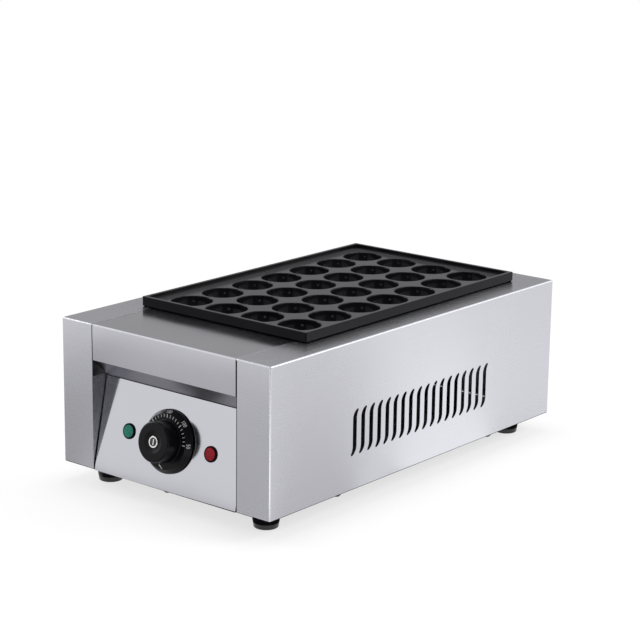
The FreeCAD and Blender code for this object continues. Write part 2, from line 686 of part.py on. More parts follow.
def base_plate():
    """Flat sheet that lies on the bottom flanges."""
    sheet = block("base_sheet", ("body_width - 4 * sheet_gauge", "body_depth - 4 * sheet_gauge",
                                 "sheet_gauge"),
                  ("2 * sheet_gauge - half_width", "2 * sheet_gauge - half_depth", "base_floor"))
    keep(cut("base_cut", sheet, floor_holes("base_hole")), "base_plate")


def control_panel():
    """Leaning sheet between the cheeks, with a bottom flange and holes for the controls."""
    body = new_body("panel_sheet")
    rise = "panel_length * lean_cosine"
    outline = outline_sketch(body, "panel_outline", "YZ_Plane", [
        ("-half_depth", "body_floor"),
        ("panel_length * lean_sine - half_depth", f"body_floor + {rise}"),
        ("tuck_y", "tuck_z"),
        ("(sheet_gauge + sheet_gauge * lean_sine) / lean_cosine - half_depth", "base_floor"),
        ("panel_flange - half_depth", "base_floor"),
        ("panel_flange - half_depth", "body_floor"),
    ])
    pad(body, "panel", outline, "2 * panel_half_width", both_ways=True)
    holes = [panel_hole("bush_hole", "bush_radius + hole_play", "0", "control_rise")]
    for side, across in SIDES:
        holes.append(panel_hole(f"lamp_hole_{side}", "lamp_body_radius + hole_play",
                                f"{across} * lamp_offset", "lamp_rise"))
        holes.append(panel_hole(f"fixing_hole_{side}", "screw_radius + hole_play",
                                f"{across} * thermostat_spacing / 2", "control_rise"))
    holes.append(rod("flange_hole", "screw_radius + hole_play", "sheet_gauge + 2 * overrun",
                     ("0", "base_screw_inset - half_depth", "body_floor - overrun")))
    keep(cut("panel_cut", body, holes), "control_panel")


def panel_hole(name, radius, across, rise):
    """A cutter square to the control panel, through its sheet."""
    item = doc.addObject("Part::Cylinder", name)
    bind(item, {"Radius": radius, "Height": "sheet_gauge + 3 * overrun"})
    return put_on_panel(item, across, rise, "-sheet_gauge - 2 * overrun")


def feet():
    """Four tapered rubber feet, each with a well for its screw's head."""
    for label, x, y in foot_spots():
        body = new_body(label + "_rubber")
        turned = revolve(body, label + "_turned", [
            ("foot_screw_radius + hole_play", "foot_seat"),
            ("foot_well_radius", "foot_seat"),
            ("foot_well_radius", "0"),
            ("foot_base_radius", "0"),
            ("foot_top_radius", "foot_height"),
            ("foot_screw_radius + hole_play", "foot_height"),
        ])
        base = value("foot_base_radius")
        round_edges(body, label + "_edge", turned, "foot_edge_radius",
                    lambda edge: lies_at(edge, z=0) and abs(edge.BoundBox.XMax - base) < 1e-3)
        move(body, (x, y, "0"))
        keep(body, label)


def foot_fixings():
    """The screws through the feet and their nuts on the base plate."""
    sizes = ("foot_head_radius", "foot_head_height", "foot_screw_radius",
             "base_top + foot_nut_height + foot_screw_end - foot_seat")
    screws, nuts = [], []
    for label, x, y in foot_spots():
        screws.append(pan_screw(label + "_screw", sizes, (x, y, "foot_seat - foot_head_height"), Z))
        nut = hexagon(label + "_hexagon", "foot_nut_radius", "foot_nut_height", (x, y, "base_top"))
        bore = rod(label + "_thread", "foot_screw_radius + thread_play",
                   "foot_nut_height + 2 * overrun", (x, y, "base_top - overrun"))
        nuts.append(cut(label + "_nut", nut, [bore]))
    keep(group("foot_screw_set", screws), "foot_screws")
    keep(group("foot_nut_set", nuts), "foot_nuts")


def housing_screws():
    """Pan-head screws under the housing and on its back."""
    sizes = ("screw_head_radius", "screw_head_height", "screw_radius", "screw_length")
    below = [pan_screw(f"base_screw_{spot}", sizes, (x, y, "body_floor - screw_head_height"), Z)
             for spot, x, y in base_screw_spots()]
    behind = [pan_screw(f"rear_screw_{spot}", sizes,
                        (x, "half_depth + sheet_gauge + screw_head_height", z), -Y)
              for spot, x, z in rear_screw_spots()]
    keep(group("base_screw_set", below), "base_screws")
    keep(group("rear_screw_set", behind), "rear_screws")


# ---------------------------------------------------------------- baking plate

def cup_row(body, name, sphere):
    """Repeat one sphere over the whole grid of cups."""
    across = body.newObject("PartDesign::LinearPattern", name + "_across")
    along = body.newObject("PartDesign::LinearPattern", name + "_along")
    grid = body.newObject("PartDesign::MultiTransform", name + "_grid")
    grid.Originals = [sphere]
    for pattern, role, pitch, count in ((across, "X_Axis", "cup_pitch_x", "cups_across"),
                                        (along, "Y_Axis", "cup_pitch_y", "cups_along")):
        pattern.Direction = (origin_feature(body, role), [""])
        bind(pattern, {"Length": f"({count} - 1) * {pitch}", "Occurrences": count})
    grid.Transformations = [across, along]
    body.Tip = grid
    return grid


def add_sphere(body, name, radius, kind):
    """A half sphere under the first cup's mouth, or a whole one to hollow it."""
    ball = body.newObject(f"PartDesign::{kind}Sphere", name)
    ball.Angle2 = 0 if kind == "Additive" else 90
    bind(ball, {"Radius": radius})
    return move(ball, ("first_cup_x", "first_cup_y", "web_top"))


def baking_plate():
    """One casting: a rim, a web and a grid of half-sphere cups, with pegs that locate it."""
    body = new_body("plate_casting")
    corner_x, corner_y = "-plate_width / 2", "plate_middle - plate_length / 2"
    rim = add_box(body, "rim", ("plate_width", "plate_length", "rim_height"),
                  (corner_x, corner_y, "body_top"))
    round_edges(body, "rim_edges", rim, "plate_edge_radius", lambda edge: True)
    inside = ("plate_width - 2 * rim_wall", "plate_length - 2 * rim_wall")
    inside_corner = (f"{corner_x} + rim_wall", f"{corner_y} + rim_wall")
    add_box(body, "tray", inside + ("tray_depth",), inside_corner + ("web_top",), "Subtractive")
    add_box(body, "underside", inside + ("rim_height - tray_depth - web_thickness",),
            inside_corner + ("body_top",), "Subtractive")
    peg_x = "opening_half_x - peg_play - peg_radius"
    peg_y = "(opening_half_y - peg_play - peg_radius)"
    for side, across in SIDES:
        for end, along in ENDS:
            add_rod(body, f"peg_{end}_{side}", "peg_radius",
                    "peg_depth + rim_height - tray_depth - web_thickness / 2",
                    (f"{across} * ({peg_x})", f"plate_middle + {along} * {peg_y}", "body_top - peg_depth"))
    cup_row(body, "cup_outside", add_sphere(body, "cup_outside", "cup_outer", "Additive"))
    hollow = cup_row(body, "cup_inside", add_sphere(body, "cup_inside", "cup_radius", "Subtractive"))
    mouth, web = value("2 * cup_radius"), value("web_top")
    round_edges(body, "cup_lips", hollow, "cup_lip_radius",
                lambda edge: lies_at(edge, z=web) and abs(edge.BoundBox.XLength - mouth) < 1e-2)
    keep(body, "baking_plate")


# ---------------------------------------------------------------- heating

def heater_centres():
    """Middle line of each hairpin heater: name and x."""
    return [("left", "2 * first_cup_x / 3"), ("right", "-2 * first_cup_x / 3")]


def heater_legs():
    """The four straight heater legs, evenly spread from the first row of cups to the last: name and x."""
    return [(f"{side}_{leg}", f"{centre} + {sign} * heater_bend")
            for side, centre in heater_centres() for leg, sign in SIDES]


def heaters():
    """Two hairpin heaters under the cups, and the beads and studs at their ends."""
    for side, centre in heater_centres():
        legs = [rod(f"leg_{side}_{leg}", "heater_radius", "heater_rear - heater_front",
                    (f"{centre} + {sign} * heater_bend", "heater_front", "heater_level"), Y)
                for leg, sign in SIDES]
        bend = doc.addObject("Part::Torus", f"bend_{side}")
        bend.Angle3 = 180
        bind(bend, {"Radius1": "heater_bend", "Radius2": "heater_radius"})
        move(bend, (centre, "heater_rear", "heater_level"))
        keep(fuse(f"hairpin_{side}", legs + [bend]), f"heater_{side}")
    terminals = []
    for leg, x in heater_legs():
        bead = rod(f"bead_{leg}", "bead_radius", "bead_length",
                   (x, "heater_front - bead_length", "heater_level"), Y)
        stud = rod(f"stud_{leg}", "stud_radius", "stud_length",
                   (x, "heater_front - bead_length - stud_length", "heater_level"), Y)
        terminals.append(fuse(f"terminal_{leg}", [bead, stud]))
    keep(group("terminal_set", terminals), "heater_terminals")


def heater_bracket(end, y, with_clip):
    """An upright strip on the reflector's floor that carries the heater's legs."""
    half = "(heater_radius + bracket_margin - first_cup_x)"
    reach, start = "bracket_gauge + 2 * overrun", f"{y} - overrun"
    strip = block(f"strip_{end}", (f"2 * {half}", "bracket_gauge",
                                   "heater_level + heater_radius + bracket_crown - reflector_floor"),
                  (f"-{half}", y, "reflector_floor"))
    holes = [rod(f"hole_{end}_{leg}", "heater_radius + tube_play", reach, (x, start, "heater_level"), Y)
             for leg, x in heater_legs()]
    if with_clip:
        tab = block("bulb_tab", ("2 * (bulb_radius + bulb_tab_margin)", "bracket_gauge",
                                 "bulb_level + bulb_radius + bulb_tab_margin - reflector_floor"),
                    ("bulb_x - bulb_radius - bulb_tab_margin", y, "reflector_floor"))
        strip = fuse(f"strip_{end}_tab", [strip, tab])
        holes.append(rod("bulb_hole", "bulb_radius + tube_play", reach,
                         ("bulb_x", start, "bulb_level"), Y))
    keep(cut(f"bracket_{end}", strip, holes), f"heater_bracket_{end}")


def reflector():
    """Channel of bright sheet under the heaters, on two folded stands."""
    length = "opening_rear - reflector_gap - bulkhead_face - reflector_gap"
    start = ("-reflector_half_width", "bulkhead_face + reflector_gap", "reflector_floor - sheet_gauge")
    channel = block("channel", ("2 * reflector_half_width", length, "reflector_wall + sheet_gauge"), start)
    space = block("channel_space", ("2 * (reflector_half_width - sheet_gauge)", f"{length} + 2 * overrun",
                                    "reflector_wall + overrun"),
                  ("sheet_gauge - reflector_half_width", "bulkhead_face + reflector_gap - overrun",
                   "reflector_floor"))
    keep(cut("channel_cut", channel, [space]), "reflector_tray")
    for end, y in (("front", "bracket_front"), ("rear", "bracket_rear")):
        height = "reflector_floor - sheet_gauge - base_top"
        corner = ("-stand_half_width", f"{y} - stand_depth / 2", "base_top")
        outside = block(f"stand_{end}", ("2 * stand_half_width", "stand_depth", height), corner)
        space = block(f"stand_space_{end}", ("2 * (stand_half_width - sheet_gauge)",
                                             "stand_depth + 2 * overrun",
                                             f"{height} - sheet_gauge + overrun"),
                      ("sheet_gauge - stand_half_width", f"{y} - stand_depth / 2 - overrun",
                       "base_top - overrun"))
        keep(cut(f"stand_cut_{end}", outside, [space]), f"reflector_stand_{end}")


def bulkhead():
    """Upright sheet between the controls and the heaters, with a flange at its top and bottom."""
    width = "2 * bulkhead_half_width"
    wall = block("bulkhead_wall", (width, "sheet_gauge", "deck_floor - base_top"),
                 ("-bulkhead_half_width", "bulkhead_face - sheet_gauge", "base_top"))
    flanges = [block(f"bulkhead_{level}", (width, "bulkhead_flange", "sheet_gauge"),
                     ("-bulkhead_half_width", "bulkhead_face - bulkhead_flange", z))
               for level, z in (("foot", "base_top"), ("head", "deck_floor - sheet_gauge"))]
    reach, start = "sheet_gauge + 2 * overrun", "bulkhead_face - sheet_gauge - overrun"
    tubes = [rod(f"way_{leg}", "heater_radius + bulkhead_hole_play", reach, (x, start, "heater_level"), Y)
             for leg, x in heater_legs()]
    tubes.append(rod("way_capillary", "capillary_radius + bulkhead_hole_play", reach,
                     ("bulb_x", start, "bulb_level"), Y))
    keep(cut("bulkhead_cut", fuse("bulkhead_sheet", [wall] + flanges), tubes), "bulkhead")


# ---------------------------------------------------------------- controls

def thermostat():
    """Capillary thermostat behind the control panel, its two screws and its shaft."""
    case_back = "-(sheet_gauge + thermostat_plate + thermostat_depth)"
    case = panel_block("case", ("thermostat_width", "thermostat_height", "thermostat_depth"),
                       "0", "control_rise", case_back)
    plate = panel_block("case_plate", ("thermostat_plate_width", "thermostat_plate_height",
                                       "thermostat_plate"),
                        "0", "control_rise", "-(sheet_gauge + thermostat_plate)")
    bush = panel_rod("bush", "bush_radius", "0", "control_rise",
                     "-(sheet_gauge + thermostat_plate)", "bush_lift")
    spades = [panel_block(f"spade_{side}_{row}", ("spade_width", "spade_gauge", "spade_length + overrun"),
                          f"{across} * thermostat_width / 4",
                          f"control_rise + {up} * thermostat_height / 4",
                          f"{case_back} - spade_length")
              for side, across in SIDES for row, up in (("low", -1), ("high", 1))]
    bore = panel_rod("shaft_bore", "shaft_radius + shaft_play", "0", "control_rise",
                     "-shaft_depth - shaft_end_gap", "bush_lift + overrun")
    threads = [panel_rod(f"thread_{side}", "screw_radius + thread_play",
                         f"{across} * thermostat_spacing / 2", "control_rise",
                         "-(sheet_gauge + screw_length)", "0") for side, across in SIDES]
    solid = fuse("thermostat_solid", [case, plate, bush] + spades)
    keep(cut("thermostat_cut", solid, [bore] + threads), "thermostat_body")

    screws = []
    for side, across in SIDES:
        spot = f"{across} * thermostat_spacing / 2"
        head = panel_rod(f"fixing_head_{side}", "screw_head_radius", spot, "control_rise",
                         "0", "fixing_head_height")
        shank = panel_rod(f"fixing_shank_{side}", "screw_radius", spot, "control_rise",
                          "-screw_length", "fixing_head_height / 2")
        screws.append(fuse(f"fixing_{side}", [head, shank]))
    keep(group("fixing_set", screws), "thermostat_screws")

    spindle = panel_rod("spindle", "shaft_radius", "0", "control_rise", "-shaft_depth", "shaft_top")
    flat = panel_block("spindle_flat", ("2 * shaft_radius", "2 * shaft_radius", "shaft_top"),
                       "0", "control_rise + 2 * shaft_radius - shaft_flat", "flat_start")
    keep(cut("spindle_cut", spindle, [flat]), "thermostat_shaft")


def panel_rod(name, radius, across, rise, low, high):
    """A cylinder square to the control panel, between two levels above its face."""
    item = doc.addObject("Part::Cylinder", name)
    bind(item, {"Radius": radius, "Height": f"({high}) - ({low})"})
    return put_on_panel(item, across, rise, low)


def panel_block(name, size, across, rise, low):
    """A box square to the control panel, centred on a point of its face, from a level outwards."""
    item = doc.addObject("Part::Box", name)
    bind(item, dict(zip(("Length", "Width", "Height"), size)))
    return put_on_panel(item, f"({across}) - ({size[0]}) / 2", f"({rise}) - ({size[1]}) / 2", low)


def knob():
    """Moulded knob: a conical skirt that carries the dial, and a cap with a dished face."""
    body = new_body("knob_moulding")
    face_radius = "cap_radius - cap_taper"
    ceiling = "cap_top - dish_depth - knob_wall"
    moulding = revolve(body, "moulding", [
        ("0", "cap_top - dish_depth"),
        ("dish_radius - 2 * dish_depth", "cap_top - dish_depth"),
        ("dish_radius", "cap_top"),
        (face_radius, "cap_top"),
        ("cap_radius", "cap_seat"),
        ("dial_radius", "skirt_rise + skirt_edge"),
        ("skirt_radius", "skirt_lift + skirt_edge"),
        ("skirt_radius", "skirt_lift"),
        ("skirt_radius - knob_wall", "skirt_lift"),
        ("dial_radius - knob_wall / 2", "skirt_rise + skirt_edge - knob_wall"),
        ("cap_radius - knob_wall", "cap_seat - knob_wall / 2"),
        ("cap_radius - cap_taper - knob_wall", ceiling),
        ("hub_radius", ceiling),
        ("hub_radius", "hub_foot"),
        ("shaft_radius + 2 * shaft_play", "hub_foot"),
        ("shaft_radius + 2 * shaft_play", "shaft_top + shaft_end_gap"),
        ("0", "shaft_top + shaft_end_gap"),
    ])
    top, radius = value("cap_top"), value(face_radius)
    round_edges(body, "cap_edge", moulding, "cap_round",
                lambda edge: lies_at(edge, z=top) and abs(edge.BoundBox.XMax - radius) < 1e-3)
    put_on_panel(body, "0", "control_rise")
    keep(body, "knob")

    badge = new_body("badge_ring")
    revolve(badge, "badge_turned", [
        ("badge_hole_radius", "cap_top - dish_depth"),
        ("badge_radius", "cap_top - dish_depth"),
        ("badge_radius", "cap_top - dish_depth + badge_height / 2"),
        ("badge_radius - badge_height / 2", "cap_top - dish_depth + badge_height"),
        ("badge_hole_radius", "cap_top - dish_depth + badge_height"),
    ])
    put_on_panel(badge, "0", "control_rise")
    keep(badge, "knob_ring")


def lamps():
    """An indicator lamp on each side of the knob: body with bezel, lens and nut."""
    for colour, across in (("green", "-lamp_offset"), ("red", "lamp_offset")):
        bezel = panel_rod(f"bezel_{colour}", "bezel_radius", across, "lamp_rise", "0", "bezel_height")
        barrel = panel_rod(f"barrel_{colour}", "lamp_body_radius", across, "lamp_rise",
                           "-lamp_body_length", "bezel_height / 2")
        seat = panel_rod(f"seat_{colour}", "lens_radius + thread_play", across, "lamp_rise",
                         "bezel_height - lens_seat", "bezel_height + overrun")
        shell = cut(f"shell_{colour}", fuse(f"shell_solid_{colour}", [bezel, barrel]), [seat])
        keep(shell, f"lamp_{colour}_body")

        lens = new_body(f"lens_{colour}")
        disc = add_rod(lens, f"disc_{colour}", "lens_radius", "lens_seat + lens_rise",
                       ("0", "0", "bezel_height - lens_seat"))
        face = value("bezel_height + lens_rise")
        round_edges(lens, f"dome_{colour}", disc, "lens_round", lambda edge: lies_at(edge, z=face))
        put_on_panel(lens, across, "lamp_rise")
        keep(lens, f"lamp_{colour}_lens")

        nut = doc.addObject("Part::Prism", f"nut_{colour}")
        nut.Polygon = 6
        bind(nut, {"Circumradius": "lamp_nut_radius", "Height": "lamp_nut_height"})
        put_on_panel(nut, across, "lamp_rise", "-(sheet_gauge + lamp_nut_height)")
        bore = panel_rod(f"nut_bore_{colour}", "lamp_body_radius + thread_play", across, "lamp_rise",
                         "-(sheet_gauge + lamp_nut_height + overrun)", "overrun")
        keep(cut(f"nut_cut_{colour}", nut, [bore]), f"lamp_{colour}_nut")


def bulb():
    """The thermostat's bulb, held under the plate by the front heater bracket."""
    start = ("bulb_x", "bracket_front - bulb_tail", "bulb_level")
    keep(rod("bulb_rod", "bulb_radius", "bulb_length", start, Y), "thermostat_bulb")


def capillary():
    """The thin copper tube from the thermostat's case to its bulb."""
    lean = math.radians(value("panel_lean"))
    inward = Vector(0, math.cos(lean), -math.sin(lean))
    depth, lead = value("sheet_gauge + thermostat_plate + thermostat_depth"), value("capillary_lead")
    axis = Vector(value("thermostat_width / 6"), value("control_rise * lean_sine - half_depth"),
                  value("control_rise * lean_cosine + body_floor"))
    bulb_x, bulb_level = value("bulb_x"), value("bulb_level")
    corners = [
        axis + inward * depth,
        axis + inward * (depth + lead),
        Vector(bulb_x, value("bulkhead_face - capillary_setback"), bulb_level),
        Vector(bulb_x, value("bracket_front - bulb_tail"), bulb_level),
    ]
    tube = doc.addObject("Part::Feature", "capillary")
    tube.Shape = tube_along(corners, value("capillary_radius"))
    keep(tube, "capillary_tube")


def tube_along(corners, radius):
    """A round tube along straight runs that are joined by arcs as large as the runs allow."""
    edges, last = [], corners[0]
    for before, corner, after in zip(corners, corners[1:], corners[2:]):
        arriving, leaving = corner - before, after - corner
        turn = arriving.getAngle(leaving)
        setback = 0.45 * min(arriving.Length, leaving.Length)
        bend = setback / math.tan(turn / 2)
        arriving.normalize()
        leaving.normalize()
        first, second = corner - arriving * setback, corner + leaving * setback
        inward = leaving - arriving
        inward.normalize()
        centre = corner + inward * (bend / math.cos(turn / 2))
        edges.append(Part.LineSegment(last, first).toShape())
        edges.append(Part.Arc(first, centre - inward * bend, second).toShape())
        last = second
    edges.append(Part.LineSegment(last, corners[-1]).toShape())
    path = Part.Wire(edges)
    mouth = Part.Wire([Part.Circle(corners[0], corners[1] - corners[0], radius).toShape()])
    return path.makePipeShell([mouth], True, False)


# ---------------------------------------------------------------- mains entry

def along_gland(name, radius, low, high, maker=rod):
    """A cylinder or hexagon on the gland's axis, between two distances behind the rear cover."""
    start = ("gland_x", f"gland_y + ({low})", "gland_z")
    return maker(name, radius, f"({high}) - ({low})", start, Y)


def cable_gland():
    """Gland in the rear cover: body, seal around the cable, dome nut and the nut inside."""
    thread_end = "gland_flange_height + gland_thread_out"
    seal_foot = "gland_flange_height / 2"
    body = fuse("gland_solid", [
        along_gland("gland_thread", "gland_radius", "-gland_thread_in - sheet_gauge", thread_end),
        along_gland("gland_hexagon", "gland_flange_radius", "0", "gland_flange_height", hexagon),
    ])
    ways = [
        along_gland("gland_way", "cable_radius + gland_way_play",
                    "-gland_thread_in - sheet_gauge - overrun", f"{thread_end} + overrun"),
        along_gland("seal_seat", "seal_radius + thread_play", seal_foot, f"{thread_end} + overrun"),
    ]
    keep(cut("gland_cut", body, ways), "gland_body")

    seal = along_gland("seal_solid", "seal_radius", seal_foot, thread_end)
    cable_way = along_gland("cable_way", "cable_radius", "0", f"{thread_end} + overrun")
    keep(cut("seal_cut", seal, [cable_way]), "gland_seal")

    nut_end = "-sheet_gauge - locknut_height"
    nut = along_gland("locknut_solid", "gland_flange_radius", nut_end, "-sheet_gauge", hexagon)
    thread = along_gland("locknut_bore", "gland_radius + thread_play", f"{nut_end} - overrun", "0")
    keep(cut("locknut_cut", nut, [thread]), "gland_locknut")

    dome = new_body("dome_shell")
    start, shoulder = "gland_flange_height + dome_gap", "gland_flange_height + dome_gap + dome_length / 2"
    shell = revolve(dome, "dome_turned", [
        ("gland_radius + thread_play", start),
        ("dome_radius", start),
        ("dome_radius", shoulder),
        ("cable_radius + dome_mouth_wall", f"{start} + dome_length"),
        ("cable_radius + hole_play", f"{start} + dome_length"),
        ("cable_radius + hole_play", f"{thread_end} + dome_seat_gap"),
        ("gland_radius + thread_play", f"{thread_end} + dome_seat_gap"),
    ])
    level = value(shoulder)
    round_edges(dome, "dome_shoulder", shell, "dome_wall", lambda edge: lies_at(edge, z=level))
    dome.Placement.Rotation = FreeCAD.Rotation(Z, Y)
    move(dome, ("gland_x", "gland_y", "gland_z"))
    keep(dome, "gland_dome_nut")


def terminal_block():
    """Ceramic terminal block on the base plate, with two clamp screws in each way."""
    front, top = "block_y - block_depth / 2", "base_top + block_height"
    ceramic = block("ceramic", ("block_width", "block_depth", "block_height"),
                    ("gland_x - block_width / 2", front, "base_top"))
    middle = "base_top + block_height / 2"
    holes, screws = [], []
    for way in range(int(value("block_ways"))):
        x = f"gland_x + ({way} - (block_ways - 1) / 2) * block_width / block_ways"
        holes.append(rod(f"wire_hole_{way}", "wire_hole_radius", "block_depth + 2 * overrun",
                         (x, f"{front} - overrun", middle), Y))
        for end, along in ENDS:
            y = f"block_y + {along} * block_depth / 4"
            holes.append(rod(f"clamp_well_{way}_{end}", "clamp_screw_radius + thread_play",
                             f"{top} - ({middle}) + overrun", (x, y, middle)))
            screws.append(rod(f"clamp_screw_{way}_{end}", "clamp_screw_radius", "clamp_screw_depth",
                              (x, y, f"{top} - clamp_screw_sink - clamp_screw_depth")))
    keep(cut("ceramic_cut", ceramic, holes), "terminal_block")
    keep(group("clamp_screw_set", screws), "terminal_screws")


# ---------------------------------------------------------------- whole object

def check_document():
    """Stop unless every object is up to date and every sub-part is a valid shape."""
    for item in doc.Objects:
        if {"Invalid", "Error"} & set(item.State):
            raise RuntimeError(f"{item.Name} ({item.Label}) failed: {item.State}")
    for item in subparts:
        if item.Shape.isNull() or not item.Shape.isValid():
            raise RuntimeError(f"{item.Label} has no valid shape")


def write_parts():
    """Write each sub-part to its own file."""
    os.makedirs("parts", exist_ok=True)
    for item in subparts:
        item.Shape.exportStep(f"parts/{item.Label}.step")
        box = item.Shape.BoundBox
        print(f"{item.Label:26s} solids {len(item.Shape.Solids):2d} volume {item.Shape.Volume:11.1f}"
              f"  x {box.XMin:7.1f} {box.XMax:7.1f}  y {box.YMin:7.1f} {box.YMax:7.1f}"
              f"  z {box.ZMin:6.1f} {box.ZMax:6.1f}")


fill_sheet("Sizes", [(alias, str(number), meaning) for alias, number, meaning in SIZES])
places_sheet = fill_sheet("Places", [(alias, "=" + rule(text), text) for alias, text in PLACES])

side_panels()
front_cover()
rear_deck()
rear_cover()
base_plate()
control_panel()
feet()
foot_fixings()
housing_screws()
baking_plate()
heaters()
heater_bracket("front", "bracket_front", with_clip=True)
heater_bracket("rear", "bracket_rear", with_clip=False)
reflector()
bulkhead()
thermostat()
knob()
lamps()
bulb()
capillary()
cable_gland()
terminal_block()

doc.recompute()
check_document()
write_parts()
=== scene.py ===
"""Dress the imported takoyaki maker: folded brushed steel, a black cast plate, a dial and two lamps.

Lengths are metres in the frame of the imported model: +Z up, +Y to the back, the origin on the
surface that the feet stand on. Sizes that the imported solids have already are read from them.
"""
from __future__ import annotations

import json
import logging
import math
from collections.abc import Callable, Iterable, Sequence
from dataclasses import dataclass, field
from enum import Enum

import bmesh
import bpy
from mathutils import Matrix, Vector


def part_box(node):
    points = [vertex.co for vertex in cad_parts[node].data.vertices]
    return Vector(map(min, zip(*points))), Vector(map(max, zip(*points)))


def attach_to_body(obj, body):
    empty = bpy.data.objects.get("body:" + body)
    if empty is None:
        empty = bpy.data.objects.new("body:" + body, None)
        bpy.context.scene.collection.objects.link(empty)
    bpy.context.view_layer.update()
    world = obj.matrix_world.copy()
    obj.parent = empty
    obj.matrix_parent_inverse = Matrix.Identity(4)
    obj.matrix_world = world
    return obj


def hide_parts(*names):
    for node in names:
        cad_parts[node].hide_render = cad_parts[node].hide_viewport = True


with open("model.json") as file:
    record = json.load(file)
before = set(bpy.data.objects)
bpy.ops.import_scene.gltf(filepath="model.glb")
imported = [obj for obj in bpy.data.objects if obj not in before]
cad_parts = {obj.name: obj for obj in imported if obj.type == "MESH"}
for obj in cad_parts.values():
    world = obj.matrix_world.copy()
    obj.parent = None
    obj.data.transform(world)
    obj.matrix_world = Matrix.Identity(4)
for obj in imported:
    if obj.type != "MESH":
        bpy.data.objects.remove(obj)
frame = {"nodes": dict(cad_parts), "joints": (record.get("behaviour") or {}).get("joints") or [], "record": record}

log = logging.getLogger("takoyaki_maker")
MM = 0.001
PACKED_WELD = 0.002 * MM
FINE_WELD = 0.0001 * MM
COPY_WELD = 0.004 * MM
ON_AXIS = 0.0001 * MM
SOFT_EDGE = 0.2 * MM
SHARP_FROM = math.radians(40.0)
FLAT_WITHIN = math.radians(0.05)
UP = Vector((0, 0, 1))
Color = tuple[float, float, float]
Face = bpy.types.MeshPolygon
Mesh = bpy.types.Mesh
Socket = bpy.types.NodeSocket
Thing = bpy.types.Object
Work = bmesh.types.BMesh


class Body(Enum):
    """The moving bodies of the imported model."""

    HOUSING = "housing"
    KNOB = "control_knob"
    PLATE = "cooking_plate"


class Grain(Enum):
    """The way a sheet was brushed before it was folded."""

    ALONG_X = "across the housing"
    ALONG_Y = "front to back"


# ------------------------------------------------------------------ nodes


class Nodes:
    """A node tree, with short calls that add its nodes."""

    def __init__(self, tree: bpy.types.NodeTree) -> None:
        """Take up a tree.

        Args:
            tree: The tree that the calls work on.
        """
        self.tree = tree

    def add(self, kind: str, inputs: dict[str | int, object] | None = None,
            **settings: object) -> bpy.types.Node:
        """Add a node.

        Args:
            kind: Blender's name of the node's type.
            inputs: Value or output socket for each input, by name or number.
            **settings: The node's own properties.

        Returns:
            The new node.
        """
        node = self.tree.nodes.new(kind)
        for name, setting in settings.items():
            setattr(node, name, setting)
        for name, given in (inputs or {}).items():
            self.feed(node.inputs[name], given)
        return node

    def feed(self, socket: Socket, given: object) -> None:
        """Link an output to a socket, or set the socket's value.

        Args:
            socket: The input.
            given: An output, or a value, which for a colour is three numbers.
        """
        if isinstance(given, Socket):
            self.tree.links.new(given, socket)
        else:
            socket.default_value = (*given, 1.0) if socket.type == "RGBA" else given

    def math(self, operation: str, first: object, second: object = 0.0) -> Socket:
        """Return the result of a sum on two values."""
        return self.add("ShaderNodeMath", {0: first, 1: second}, operation=operation).outputs[0]


class Shading(Nodes):
    """A new material's node tree, with short calls for the nodes that the finishes use."""

    def __init__(self, name: str) -> None:
        """Start a material with a principled shader.

        Args:
            name: The material's name.
        """
        self.material = bpy.data.materials.new(name)
        self.material.use_nodes = True
        super().__init__(self.material.node_tree)
        self.place = self.add("ShaderNodeTexCoord").outputs["Object"]

    def set(self, **inputs: object) -> None:
        """Feed the principled shader's inputs, with underscores for the spaces in their names."""
        for name, given in inputs.items():
            self.feed(self.tree.nodes["Principled BSDF"].inputs[name.replace("_", " ")], given)

    def show(self, surface: Socket) -> None:
        """Show another shader in the principled one's stead."""
        self.feed(self.tree.nodes["Material Output"].inputs["Surface"], surface)

    def noise(self, scale: float, detail: float = 2.0, source: object = None) -> Socket:
        """Return smooth noise from 0 to 1, with a scale in features per metre."""
        given = {"Vector": self.place if source is None else source, "Scale": scale, "Detail": detail}
        return self.add("ShaderNodeTexNoise", given).outputs[0]

    def stretched(self, source: object, scale_x: float, scale_y: float, detail: float) -> Socket:
        """Return noise on flat coordinates, with its own scale along each of them."""
        scaled = self.add("ShaderNodeMapping", {"Vector": source, "Scale": (scale_x, scale_y, 1)})
        return self.noise(1.0, detail, scaled.outputs[0])

    def span(self, source: object, low: float, high: float, start: float = 0.3,
             end: float = 0.7) -> Socket:
        """Return a value stretched from start..end to low..high."""
        given = {0: source, 1: start, 2: end, 3: low, 4: high}
        return self.add("ShaderNodeMapRange", given).outputs[0]

    def blend(self, factor: object, first: object, second: object) -> Socket:
        """Return two colours mixed by a factor."""
        return self.add("ShaderNodeMix", {0: factor, 6: first, 7: second}, data_type="RGBA").outputs[2]

    def bump(self, height: object, depth: float, under: object = None) -> Socket:
        """Return a normal roughened by a height map, with its depth in metres."""
        node = self.add("ShaderNodeBump", {"Height": height, "Distance": depth, "Strength": 1.0})
        if under is not None:
            self.feed(node.inputs["Normal"], under)
        return node.outputs[0]

    def hollows(self, reach: float) -> Socket:
        """Return 1 in the open and less in corners that lie within reach."""
        return self.add("ShaderNodeAmbientOcclusion", {"Distance": reach}, samples=8).outputs["AO"]

    def rise(self) -> Socket:
        """Return 1 where the surface faces straight up, 0 where it is upright and -1 below."""
        normal = self.add("ShaderNodeNewGeometry").outputs["Normal"]
        return self.add("ShaderNodeSeparateXYZ", {0: normal}).outputs[2]


